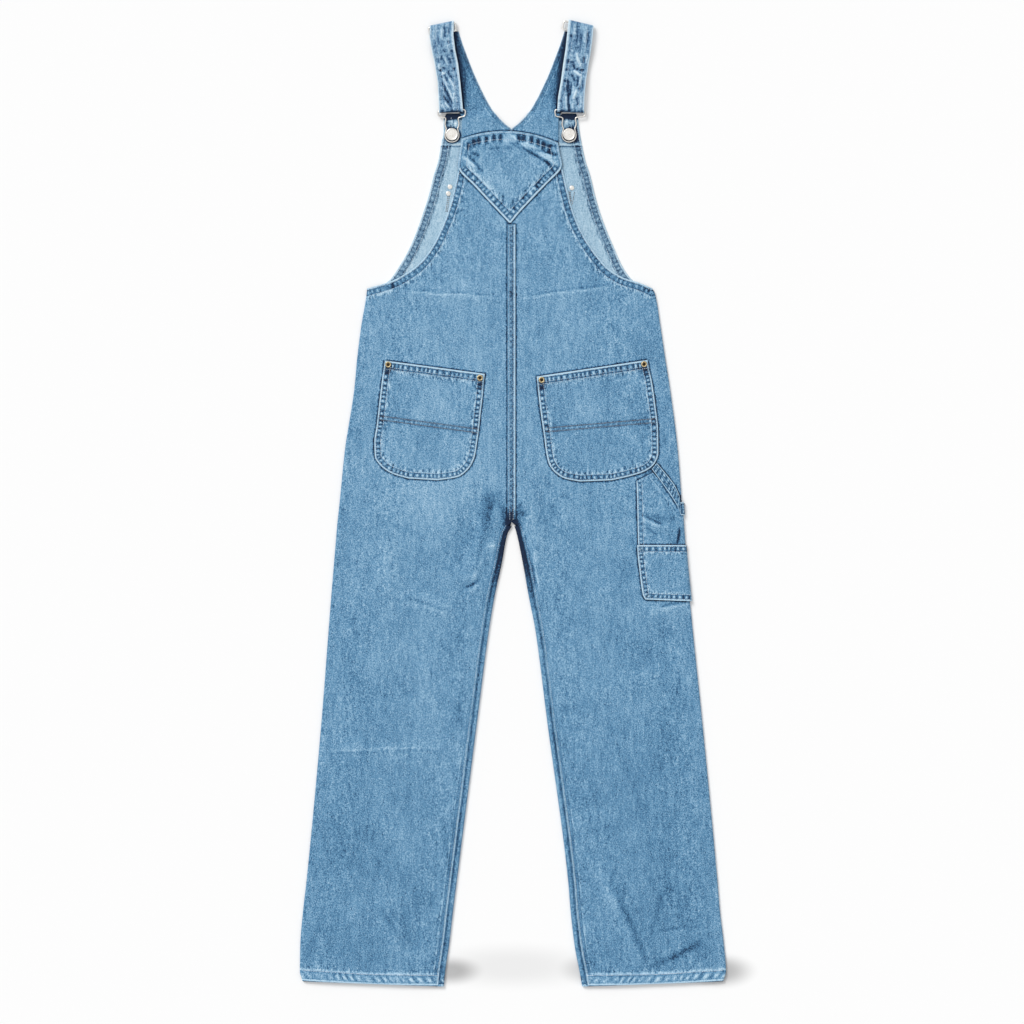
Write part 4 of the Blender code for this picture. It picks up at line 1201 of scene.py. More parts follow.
    def front(self, side: Side, finish: Material) -> None:
        """One half of the front: flat on the surface, round the inside of the leg, up to the inseam.

        Args:
            side: Its side.
            finish: The denim.
        """
        outward = side.outward
        h = self.rows(WAIST_H, self.column_pitch)
        outer_h = h + HEM_SLANT * np.maximum(0, 1 - h / 60)
        in_leg = h <= CROTCH_H
        middle = CENTRE_X + outward * SEAM_GAP / 2
        end = np.where(in_leg, Body.inner(side, h) + outward * EDGE_RADIUS, middle)
        centre = Body.outer(side, h) - outward * EDGE_RADIUS
        across = np.linspace(0, 1, 15)
        layers = []
        for depth in (CLOTH, 0.0):
            radius = EDGE_RADIUS - depth
            turn = np.linspace(-SEAM_ANGLE, -math.pi / 2, 5)[None, :-1]
            x0, z0 = self.arc(centre, outward, turn, radius)
            x1 = centre[:, None] + (end - centre)[:, None] * across
            h1 = outer_h[:, None] + (h - outer_h)[:, None] * across
            x2, z2 = self.arc(end, -outward, np.linspace(-math.pi / 2, math.pi / 2, 9)[None, 1:], radius)
            lap = Body.inseam(side, h) - outward * SEAM_GAP / 2
            x3 = end[:, None] + (lap - end)[:, None] * np.array([0.2, 0.4, 0.6, 0.8, 1.0])
            z3 = Body.top(x3, h[:, None] + 0 * x3) - depth
            xs = np.concatenate([x0, x1, x2, x3], axis=1)
            zs = np.concatenate([z0, depth + 0 * x1, z2, z3], axis=1)
            spread = [np.repeat(outer_h[:, None], 4, axis=1), h1, np.repeat(h[:, None], 13, axis=1)]
            hs = np.concatenate(spread, axis=1)
            if depth == 0:
                zs = self.hemmed(zs, h[:, None])
            grid = np.dstack([xs, hs, zs])
            grid[~in_leg, x0.shape[1] + x1.shape[1]:] = np.nan
            layers.append(grid)
        seam = self.fields(side, np.nan_to_num(xs), hs)
        seam[..., 2] *= np.where(seam[..., 0] >= SEAM_STEP, 0.0, 1.0)
        beside = np.abs(xs - Body.inseam(side, hs))
        # Painted shade on the wrap beside the inseam, where the back laps over it
        shade = toned(xs, hs) - 0.35 * peak(beside - 2.0, 1.6) * (np.arange(xs.shape[1]) > 18)
        wall = Wall(f"front_{side}_cloth", *layers, seam, shade, contact_of([], xs, hs))
        dressed(wall, finish, [])


# The hip pockets, from the mouth down: left x and h, right x and h
HIP_POCKETS = {
    Side.LEFT: np.array([
        (-192, 938, -42, 918), (-193.8, 926, -43.5, 906), (-196, 912, -45.5, 883.5),
        (-200.3, 876, -48.5, 858), (-204, 843, -51, 834), (-207.8, 816, -54, 813),
        (-207.2, 795, -57, 795), (-198, 780, -64.5, 778.5), (-180, 768, -82.5, 763.5),
        (-156.6, 761, -112.5, 758.5),
    ]),
    Side.RIGHT: np.array([
        (35.3, 914, 201.8, 939), (36.6, 902, 203.6, 927), (38.5, 883.5, 207.8, 909),
        (42.5, 852, 213.8, 868.5), (46.5, 825, 217.5, 834), (49.5, 801, 218, 799.5),
        (54, 782.5, 213, 784.5), (64.5, 769, 198.9, 772.5), (78, 761, 178.5, 765.5),
        (100.5, 756.5, 148.5, 758.5),
    ]),
}

# The side pocket panel, the tool pocket and the hammer loop on the right leg; past the
# last number of a row it turns down over the leg's side
SIDE_PANEL = np.array([
    (185.0, 757.5, 209.5, 770.0), (185.5, 744.0, 226.5, 751.0), (186.0, 725.0, 240.5, 731.0),
    (186.4, 708.0, np.nan, 712.0), (186.9, 684.0, np.nan, 684.0), (187.5, 661.0, np.nan, 661.0),
    (190.5, 624.0, np.nan, 624.0), (195.0, 590.0, np.nan, 588.0),
])
TOOL_POCKET = np.array([
    (186.0, 661.5, np.nan, 661.5), (186.5, 650.0, np.nan, 650.0), (189.5, 622.0, np.nan, 622.0),
    (194.5, 587.0, np.nan, 590.0), (198.0, 580.0, np.nan, 577.5),
])
HAMMER_LOOP = np.array([
    (208, 775.5, 215.5, 784.5), (221.7, 756.6, 228, 769.5), (237, 735, 242.3, 750.8),
    (247, 719, 249.5, 735.5),
])
LOOP_END = (706.0, 725.5)
WRAP_END = math.radians(-8)


def to_leg_edge(rows: Array) -> Array:
    """Rows of a panel whose open ends stop where the leg's side turns down.

    Args:
        rows: Left x and h, right x and h.

    Returns:
        The rows with their ends filled in.
    """
    rows = rows.copy()
    open_end = np.isnan(rows[:, 2])
    rows[open_end, 2] = Body.outer(Side.RIGHT, rows[open_end, 3]) - EDGE_RADIUS
    return rows


@dataclass
class HipPocket:
    """A hip pocket with a hemmed mouth and a stitched pleat line across it.

    Attributes:
        side: Its side.
        pitch: Distance between the grid's points.
        band: Distance between the two rows of stitches round it.
        hem: Depth of the hem at its mouth.
        hem_rise: How much thicker the hem is.
    """

    side: Side
    pitch: float = 1.9
    band: float = 9.5
    hem: float = 12.5
    hem_rise: float = 0.8

    @property
    def rows(self) -> Array:
        """Its table, read close together."""
        return resampled(HIP_POCKETS[self.side], spaced(200, self.pitch))

    def outline(self) -> Array:
        """Its closed outline."""
        return outline_of(self.rows)

    def cross_row(self) -> Array:
        """The middle of the double row of stitches that runs across it, as two ends."""
        left, right = [(-199.0, 852.0), (-54.5, 832.5)], [(49.0, 834.0), (211.0, 848.0)]
        return np.array(left if self.side is Side.LEFT else right)

    def shade(self, x: Array, h: Array) -> Array:
        """Tone beside its stitches, paler between the two rows, and dark at its upper corners.

        Args:
            x: Places across the garment.
            h: Places up the garment.

        Returns:
            The tone at each place, paler above 0.
        """
        along, away = SeamPath(self.cross_row()).nearest(x, h)
        total = -0.24 * peak(away, 4.8, power=4)
        total += 0.34 * peak(away, 1.6) * (0.35 + np.maximum(0, np.sin(0.85 * along + np.sin(0.1 * along))))
        along, away = SeamPath(self.outline()).nearest(x, h)
        total += 0.3 * np.sin(0.7 * along + np.sin(0.09 * along)) * peak(away - 12.5, 2.6) * (h < 800)
        for spot_x, spot_h in Rivets.POCKET.values():
            total -= 0.5 * spot(x - spot_x, h - spot_h + 9, 9, 8)
        return total

    def build(self, finish: Material, pale: Material, brown: Material) -> None:
        """Makes the pocket.

        Args:
            finish: The denim.
            pale: The thread of its edges.
            brown: The thread of the rows across it.
        """
        rows = self.rows
        grid = ruled(rows, spaced(155, self.pitch))
        x, h = grid[..., 0], grid[..., 1]
        mouth = np.stack([rows[0, :2], rows[0, 2:4]])
        below = SeamPath(mouth).nearest(x, h)[1]
        thick = CLOTH + self.hem_rise * (1 - smooth((below - self.hem) / 0.9))
        paths = [SeamPath(self.outline(), self.band), SeamPath(mouth, self.hem)]
        # Soft painted light and shade, as of a shallow sag that the shape doesn't have
        sag = -0.25 * np.sin((x - 40) * 0.05) * np.sin(h * 0.06)
        shade = self.shade(x, h) - 0.02 + 0.12 * sag
        wall = laid(f"hip_pocket_{self.side}_cloth", grid, Body.top(x, h) + LAY_GAP, thick, paths, shade)
        ring = closed(self.outline())
        edges = [(ring, 2.3), (ring, self.band), (mouth, self.hem)]
        across = [(self.cross_row() + (shift, 0), inset) for shift, inset in ((0, 2.3), (1.6, 3.3))]
        seams = [Stitching(edges, pale), Stitching(across, brown)]
        dressed(wall, finish, seams)


@dataclass
class Patch:
    """The pointed patch over the crossing of the shoulder straps.

    Attributes:
        pitch: Distance between the grid's points.
        band: Distance between the two rows of stitches round it.
    """

    pitch: float = 1.7
    band: float = 12.5

    def grid(self) -> Array:
        """Its points, x and h, with the top edge arched."""
        places = spaced(190, self.pitch)
        rows = resampled(np.column_stack([PATCH, PATCH_ARCH]), places)
        across = spaced(155, self.pitch)
        grid = ruled(rows, across)
        grid[..., 1] += rows[:, 4][:, None] * (1 - (2 * across - 1) ** 2)
        return grid

    def outline(self) -> Array:
        """Its closed outline, from its point up the left side and round."""
        grid = self.grid()
        return np.concatenate([grid[:, 0], grid[-1, 1:-1], grid[::-1, -1]])

    def build(self, finish: Material, thread: Material) -> None:
        """Makes the patch.

        Args:
            finish: The denim.
            thread: The sewing thread.
        """
        grid = self.grid()
        x, h = grid[..., 0], grid[..., 1]
        foot = Body.under_patch(x, h) + LAY_GAP
        crinkle = np.zeros(x.shape)
        for *line, tall in WRINKLES:
            crinkle += tall * ridge(x, h, line, 0.2, 0.4)
        tucks = np.zeros(x.shape)
        for tuck_x, tuck_h in TUCKS:
            tucks += spot(x - tuck_x, h - tuck_h, 3.4, 6.6, power=4)
        pillars = peak(h - np.interp(x, *TUCKS.T), 6.0, power=4) * (x > -72) * (x < 62)
        pillars = np.maximum(pillars - 1.6 * tucks, 0)
        paths = [
            SeamPath(grid[-1], 13.5, 0.3, 0.0),
            SeamPath(grid[grid[:, 0, 1] < 1226][:, 0], self.band, 1.15, 0.85),
            SeamPath(grid[grid[:, -1, 1] < 1227][:, -1], self.band, 1.15, 0.85),
            SeamPath(grid[grid[:, 0, 1] >= 1226][:, 0], self.band, 0.45, 0.2),
            SeamPath(grid[grid[:, -1, 1] >= 1227][:, -1], self.band, 0.45, 0.2),
        ]
        # The wrinkles are paler on their ridges and darker in their dips, and the tucks are dark with pale
        # pillars between them: painted light and shade of their relief
        wall = laid(
            "back_patch_cloth", grid, foot, CLOTH + 0.55 * np.maximum(crinkle, -0.8) - 0.35 * tucks, paths,
            0.03 + 0.42 * crinkle - 0.58 * tucks + 0.26 * pillars,
        )
        ring = closed(self.outline())
        seams = [Stitching([(ring, 2.6), (ring, self.band)], thread)]
        dressed(wall, finish, seams)


@dataclass
class CentreSeam:
    """The raised lap of the centre-back seam, from the crotch to the patch.

    Attributes:
        low: Height of its foot.
        high: Height of its top.
        wide: Its width.
        thick: Its thickness.
    """

    low: float = 699.0
    high: float = 1142.0
    wide: float = 12.0
    thick: float = 1.0

    def outline(self) -> Array:
        """Its closed outline."""
        left, right = CENTRE_X - self.wide / 2, CENTRE_X + self.wide / 2
        return np.array([(left, self.low), (left, self.high), (right, self.high), (right, self.low)])

    def build(self, finish: Material, thread: Material) -> None:
        """Makes the lap.

        Args:
            finish: The denim.
            thread: The sewing thread.
        """
        h = self.low + (self.high - self.low) * spaced(self.high - self.low, 1.6)
        across = np.array([0, 0.25, 0.8, 1.6, 2.6, 4, 5, 6, 7, 8, 9.4, 10.4, 11.2, 11.75, 12]) / 12
        x = CENTRE_X + self.wide * (across - 0.5)
        grid = np.dstack(np.meshgrid(x, h))
        x, h = grid[..., 0], grid[..., 1]
        line = np.array([(CENTRE_X - self.wide / 2, self.low), (CENTRE_X - self.wide / 2, self.high)])
        other = line + np.array([self.wide, 0])
        paths = [SeamPath(line, 13.0, 0.25, 0.7), SeamPath(other, 13.0, 0.85, 0.7)]
        slant = np.sin(1.35 * (h + 1.3 * x) + np.sin(0.2 * h))
        shade = 0.16 * slant * peak(np.abs(x - CENTRE_X) - 2.4, 1.3) - 0.09
        wall = laid("centre_back_seam_cloth", grid, Body.top(x, h) + LAY_GAP, self.thick, paths, shade)
        seams = [Stitching([(line, 3.4), (other, 3.4)], thread)]
        dressed(wall, finish, seams)


@dataclass
class SidePocket:
    """The side pocket panel with the tool pocket and the hammer loop, on the right leg.

    Attributes:
        pitch: Distance between the grids' points.
        loop_thick: Thickness of the loop's folded band.
    """

    pitch: float = 1.7
    loop_thick: float = 1.8

    def outlines(self) -> list[Array]:
        """Closed outlines of what lies on the back."""
        panel, pocket, loop = (to_leg_edge(t) for t in (SIDE_PANEL, TOOL_POCKET, HAMMER_LOOP))
        for rows in (panel, pocket):
            rows[:, 2] = np.where(rows[:, 2] > 240.6, 300.0, rows[:, 2])
        end = np.array([(300.0, LOOP_END[0], 300.0, LOOP_END[1])])
        return [outline_of(panel), outline_of(pocket), outline_of(np.concatenate([loop, end]))]

    def wrapped(
        self, table: Array, name: str, under: float, paths: list[SeamPath], over: list[Array], turn: int,
    ) -> Wall:
        """A panel that lies on the back and turns down over the leg's side.

        Args:
            table: Its rows, left x and h, right x and h.
            name: The piece's name.
            under: Height of what lies between it and the back.
            paths: Its seams.
            over: Outlines of what lies on it.
            turn: First row of the table that turns down over the side.

        Returns:
            The wall.
        """
        rows = to_leg_edge(table)
        size = np.abs(np.diff(rows, axis=0)).max(axis=1).sum()
        places = spaced(size, self.pitch)
        start = np.abs(np.diff(rows, axis=0)).max(axis=1)[:turn].sum() / size
        rows = resampled(rows, places)
        wraps = places >= start - 1e-6
        rows[wraps, 2] = Body.outer(Side.RIGHT, rows[wraps, 3]) - EDGE_RADIUS
        flat = ruled(rows, spaced(55, self.pitch, (True, False)))
        x, h = flat[..., 0], flat[..., 1]
        angles = np.linspace(math.pi / 2, WRAP_END, 9)[1:]
        layers = []
        for depth in (0.0, CLOTH):
            lift = under + LAY_GAP + depth
            radius = EDGE_RADIUS + lift
            turn_x = rows[:, 2][:, None] + radius * np.cos(angles)
            turn_z = EDGE_RADIUS + radius * np.sin(angles) + 0 * turn_x
            turn_h = rows[:, 3][:, None] + 0 * turn_x
            bend = np.dstack([turn_x, turn_h, turn_z])
            bend[~wraps] = np.nan
            layers.append(np.concatenate([np.dstack([x, h, Body.top(x, h) + lift]), bend], axis=1))
        xs, hs = np.nan_to_num(layers[1][..., 0]), np.nan_to_num(layers[1][..., 1])
        left = SeamPath(rows[:, :2]).nearest(xs, hs)[1]
        top = SeamPath(np.stack([rows[0, :2], rows[0, 2:4]])).nearest(xs, hs)[1]
        seam = seam_field(paths, xs, hs)
        edge = np.minimum(left, top)
        lift = CLOTH * (rolled(edge) - 1) + drawn_up(seam) * smooth(edge / 1.5)
        layers[1][:, :x.shape[1], 2] += lift[:, :x.shape[1]]
        return Wall(name, *layers, seam, toned(xs, hs) + 0.03, contact_of(over, xs, hs))

    def build(self, finish: Material, thread: Material) -> None:
        """Makes the panel, the tool pocket and the hammer loop.

        Args:
            finish: The denim.
            thread: The sewing thread.
        """
        outlines = self.outlines()
        rows = to_leg_edge(SIDE_PANEL)
        panel_edges = [SeamPath(rows[:, :2], 8.0, 0.8, 0.5), SeamPath(rows[:4, 2:4], 8.0, 0.6, 0.3)]
        panel = self.wrapped(SIDE_PANEL, "side_pocket_panel_cloth", 0.0, panel_edges, outlines[1:], 3)
        seams = [Stitching([(panel_edges[0].points, inset) for inset in (2.0, 8.0)], thread)]
        dressed(panel, finish, seams)
        rows = to_leg_edge(TOOL_POCKET)
        edges = [
            SeamPath(np.array([rows[0, :2], rows[0, 2:4] + (8, 0)]), 10.0),
            SeamPath(rows[:, :2], 8.5),
            SeamPath(np.array([rows[-1, :2], rows[-1, 2:4] + (8, 0)]), 9.0),
        ]
        pocket = self.wrapped(TOOL_POCKET, "tool_pocket_cloth", CLOTH + LAY_GAP, edges, [], 0)
        seams = [Stitching([(edge.points, inset) for edge in edges for inset in (2.2, edge.band)], thread)]
        dressed(pocket, finish, seams)
        dressed(self.loop(), finish, [])

    def loop(self) -> Wall:
        """The hammer loop, from the hip pocket's corner over the leg's side.

        Returns:
            Its wall.
        """
        rows = resampled(HAMMER_LOOP, spaced(60, 1.6, (True, False)))
        across = spaced(18, 1.5)
        flat = ruled(rows, across)
        x, h = flat[..., 0], flat[..., 1]
        end_h = LOOP_END[0] + (LOOP_END[1] - LOOP_END[0]) * across
        edge = Body.outer(Side.RIGHT, end_h) - EDGE_RADIUS
        angles = np.linspace(math.pi / 2, WRAP_END, 9)
        layers = []
        for depth in (0.0, self.loop_thick):
            lift = CLOTH + 2 * LAY_GAP + depth
            radius = EDGE_RADIUS + lift
            turn_x = edge[None, :] + radius * np.cos(angles)[:, None]
            turn_z = EDGE_RADIUS + radius * np.sin(angles)[:, None] + 0 * turn_x
            turn = np.dstack([turn_x, end_h[None, :] + 0 * turn_x, turn_z])
            layers.append(np.concatenate([np.dstack([x, h, Body.top(x, h) + lift]), turn]))
        inner, outer = layers
        width = np.full(outer.shape[0], 16.0)
        away = np.minimum(across, 1 - across)[None, :] * width[:, None]
        step = np.linalg.norm(np.diff(outer[:, 0], axis=0), axis=1)
        along = np.concatenate([[0], np.cumsum(step)])[:, None] + 0 * away
        seam = np.dstack([along, away * 1.25, np.ones(away.shape), np.ones(away.shape)])
        outer[..., 2] += self.loop_thick * (rolled(np.minimum(away, along)) - 1) * 0.9
        shade = np.full(away.shape, 0.04)
        return Wall("hammer_loop_cloth", inner, outer, seam, shade, contact_of([], away, away))


@dataclass
class Bib:
    """The bib, whose inside faces up, with the pocket sewn on its other side.

    Attributes:
        pitch: Distance between the grid's points.
        hem_h: Height of the fold of the top hem.
        side_hem: Width of the side hems.
        hem_rise: How much thicker the hems are.
        dip: How far the top dips between the straps.
    """

    pitch: float = 2.4
    hem_h: float = 1261.8
    side_hem: float = 13.0
    hem_rise: float = 0.9
    dip: float = 28.0

    def build(self, finish: Material, pale: Material, brown: Material) -> None:
        """Makes the bib.

        Args:
            finish: The reverse of the denim.
            pale: The thread of its hems.
            brown: The thread of the pocket's seams that come through.
        """
        rows = resampled(BIB, spaced(300, self.pitch))
        level, left, right = rows.T
        near = np.array([0, 0.3, 0.9, 1.8, 3, 4.6, 6.4, 8.4, 10.4, 12.2, 13, 13.7, 14.8, 16.4, 18.5])
        middle = np.linspace(0, 1, 60)[1:-1]
        x = np.concatenate([
            left[:, None] + near,
            left[:, None] + 18.5 + (right - left - 37)[:, None] * middle,
            right[:, None] - near[::-1],
        ], axis=1)
        dip = self.dip * smooth((level - 1159) / 102)
        h = level[:, None] - dip[:, None] * (1 - smooth((np.abs(x - CENTRE_X) - 15) / 60))
        tab = smooth((x + 103) / 3) * smooth((-76 - x) / 3) + smooth((x - 69) / 3) * smooth((97.5 - x) / 3)
        level = level[:, None] + 0 * x
        h += 6.5 * tab * smooth((level - 1288) / 13)
        inward = np.minimum(x - left[:, None], right[:, None] - x)
        in_side = 1 - smooth((inward - self.side_hem) / 0.7)
        hem = np.maximum(smooth((level - self.hem_h + 0.4) / 0.8), in_side)
        sides = [SeamPath(rows[:, [1, 0]], 11.5, 0.6, 0.28), SeamPath(rows[:, [2, 0]], 11.5, 0.6, 0.28)]
        shade = -0.1 * smooth((level - self.hem_h) / 2)
        shade += 0.42 * peak(level - self.hem_h - 0.6, 1.5)
        # Painted shade just below the top hem's edge
        shade -= 0.4 * peak(level - self.hem_h + 2.6, 1.4)
        shade -= 0.19 * in_side
        # Painted shade beside the inner edges of the side hems
        shade -= 0.3 * peak(inward - self.side_hem - 1.2, 1.1)
        shade -= 0.05 * (x > 0) * smooth((h - 1100) / 60)
        # Painted shade under the ends of the wide straps, at the top of the bib
        shade -= 0.85 * smooth((h - 1298) / 5)
        for spot_x, spot_h in ((-93.5, 1295.5), (-86.5, 1293), (80.5, 1297), (89, 1295)):
            shade += 0.6 * spot(x - spot_x, h - spot_h, 2.6, 3.2)
        # Painted shadow round the buttons
        for button_x in (-91.5, 84.0):
            shade -= 0.75 * peak(np.hypot(x - button_x - 1.5, h - 1275.5) - 9.5, 2.6)
        thick = CLOTH + self.hem_rise * hem
        wall = laid("bib_cloth", np.dstack([x, h]), Body.bib_foot(x, h), thick, sides, shade)
        edges = [(side.points, inset) for side in sides for inset in (2.8, 11.3)]
        lines = (
            ((-95.2, 1186.0), (-98.2, 1162.0)), ((-97.4, 1186.0), (-100.4, 1162.0)),
            ((84.0, 1192.0), (87.2, 1171.0)), ((92.4, 1191.0), (88.6, 1171.0)),
            ((85.6, 1192.0), (88.0, 1175.0)),
        )
        rows = [(np.array(line), 0.25) for line in lines]
        seams = [Stitching(edges, pale), Stitching(rows, brown)]
        dressed(wall, finish, seams, slot="denim_reverse")

    def pocket(self, finish: Material) -> None:
        """Makes the pocket under the bib, whose outer side lies on the surface.

        Args:
            finish: The denim.
        """
        rows = np.array([(-99.0, 1066.0, 94.0, 1066.0), (-99.0, 1204.0, 94.0, 1204.0)])
        h = 1066 + 138 * spaced(138, 3.0)
        x = -99 + 193 * spaced(193, 3.0)
        grid = np.dstack(np.meshgrid(x, h))
        foot = np.zeros(grid.shape[:2])
        edges = [SeamPath(closed(outline_of(rows)), 9.0, 0.9)]
        wall = laid("bib_pocket_cloth", grid, foot, 0.8, edges)
        wall.outer[..., 2] = foot + 0.8
        dressed(wall, finish, [])


# The wide straps at each distance from their top fold: outer x and h, inner x and h
WIDE_STRAPS = {
    Side.LEFT: np.array([
        (0, -124.5, 1440, -88.5, 1447.5), (20, -124.8, 1422, -89.3, 1426),
        (41, -121.5, 1401.5, -86.5, 1403.5), (62, -117, 1381, -82, 1382),
        (88, -112.9, 1355.5, -79, 1356), (112, -111.5, 1331.5, -76.6, 1332.5),
        (134, -110.5, 1309, -74.5, 1310.5),
    ]),
    Side.RIGHT: np.array([
        (0, 120.9, 1440, 83.6, 1449), (20, 119.5, 1422.5, 81, 1426.5),
        (41, 117, 1402.5, 78.7, 1405), (62, 113.5, 1382, 75.3, 1383.5),
        (88, 109.3, 1356, 71.7, 1357), (112, 107.2, 1332, 67.6, 1333),
        (134, 106.5, 1309, 66, 1310.5),
    ]),
}


# Puckers of the wide straps: millimetres from the outer edge and down from the top fold, at
# their two ends; reach; height
RIPPLES = {
    Side.LEFT: np.array([
        (21, 6, 24, 23, 1.6, -0.9), (17, 8, 19, 26, 1.8, 0.9), (6.5, 9, 6, 24, 2, 0.9),
        (12, 14, 13, 30, 2, -0.6), (27, 28, 28.5, 31, 2.2, -1), (29, 10, 30, 18, 1.6, -0.6),
        (18, 39, 20, 44, 2.4, -0.9), (30, 41, 30, 45, 2.2, -1.1), (12, 49, 16, 60, 2.2, -0.9),
        (21, 48, 25, 60, 2, -0.9), (5, 53, 9, 59, 2, -0.8), (8, 60, 4, 66, 2, 0.9),
        (17, 50, 20, 62, 1.5, 0.8), (7, 69, 8, 72, 2.2, -1.6), (13, 66, 13.5, 70, 2.2, -1.4),
        (5, 66, 8, 68, 1.6, 1), (9, 75, 13, 76, 1.6, 1.6), (7, 79, 8, 82, 1.8, -1.1),
        (28, 67, 29, 71, 2, -1), (13, 77, 16, 89, 1.8, -1.1), (19, 72, 24, 86, 1.9, -1.2),
        (20, 83, 25, 99, 1.4, 1.1), (7, 87, 12, 99, 1.8, -1), (10, 84, 16, 100, 1.3, 0.9),
        (9.5, 98, 21, 120, 1.7, -1.5), (15.5, 99, 22, 116, 1.3, 1.3), (8, 109, 19, 127, 1.7, -1.5),
        (9, 119, 18, 132, 1.3, 1.2), (14, 127, 20, 134, 1.6, -1.3), (4, 122, 11, 133, 1.6, 0.9),
        (24, 104, 22, 132, 1.5, 0.7), (27, 92, 28, 94, 2, -0.9), (28, 100, 28, 102, 1.8, -0.8),
        (27, 108, 28, 110, 1.8, -0.8), (28, 119, 28, 121, 1.8, -0.8), (4, 34, 4.5, 37, 1.8, -0.7),
        (4, 89, 5, 91, 1.6, -0.7), (4, 101, 4, 103, 1.6, -0.7), (4, 113, 5, 115, 1.6, -0.7),
        (24, 34, 26, 40, 2, 0.6),
    ]),
    Side.RIGHT: np.array([
        (23, 2, 21.5, 31, 1.6, -1), (26, 5, 26, 20, 1.5, 0.9), (30, 20, 30, 24, 2.2, -1),
        (18, 14, 15, 44, 1.7, -0.8), (12, 8, 10, 30, 1.8, 0.6), (7, 14, 5, 40, 1.8, -0.7),
        (20.5, 46, 14, 60, 1.8, 1.6), (25, 58, 18.5, 70, 2, -1.2), (29.5, 56, 29.5, 62, 2.3, -1.5),
        (26, 52, 26.5, 64, 1.4, 0.8), (8.5, 51, 8, 60, 1.8, -1.4), (5, 46, 4, 60, 1.6, 0.9),
        (8.7, 70, 9, 73, 2.5, -1.8), (15, 68, 14.5, 72, 2.1, -1.6), (12, 66, 11, 60, 1.8, 1.1),
        (20, 73, 8, 79, 1.7, 1.7), (22, 77, 15.5, 89, 1.9, -1.1), (30.4, 69, 30, 73, 2.2, -1.2),
        (11.6, 82, 12, 97, 1.5, -1.2), (8, 81, 8, 93, 1.4, 1.2), (4.5, 87, 4, 101, 1.4, -0.9),
        (30, 86, 30, 90, 2.2, -1.1), (26.7, 86, 22, 111, 1.6, -1.4), (22, 109, 20.5, 134, 1.5, -1.5),
        (26, 110, 22.5, 134, 1.4, 1.2), (20.5, 92, 19.5, 109, 1.4, -1), (17.5, 94, 17, 109, 1.3, 0.9),
        (13, 101, 14.5, 114, 1.5, 1.7), (8, 97, 8, 101, 2, -1.3), (10, 112, 9.5, 123, 1.5, -1.3),
        (33, 116, 33, 120, 2.2, -0.9), (6, 108, 5, 128, 1.4, 0.8), (16, 118, 15, 133, 1.5, 0.7),
        (28, 98, 29, 102, 2, -0.8), (12, 122, 12, 133, 1.3, -0.7),
    ]),
}


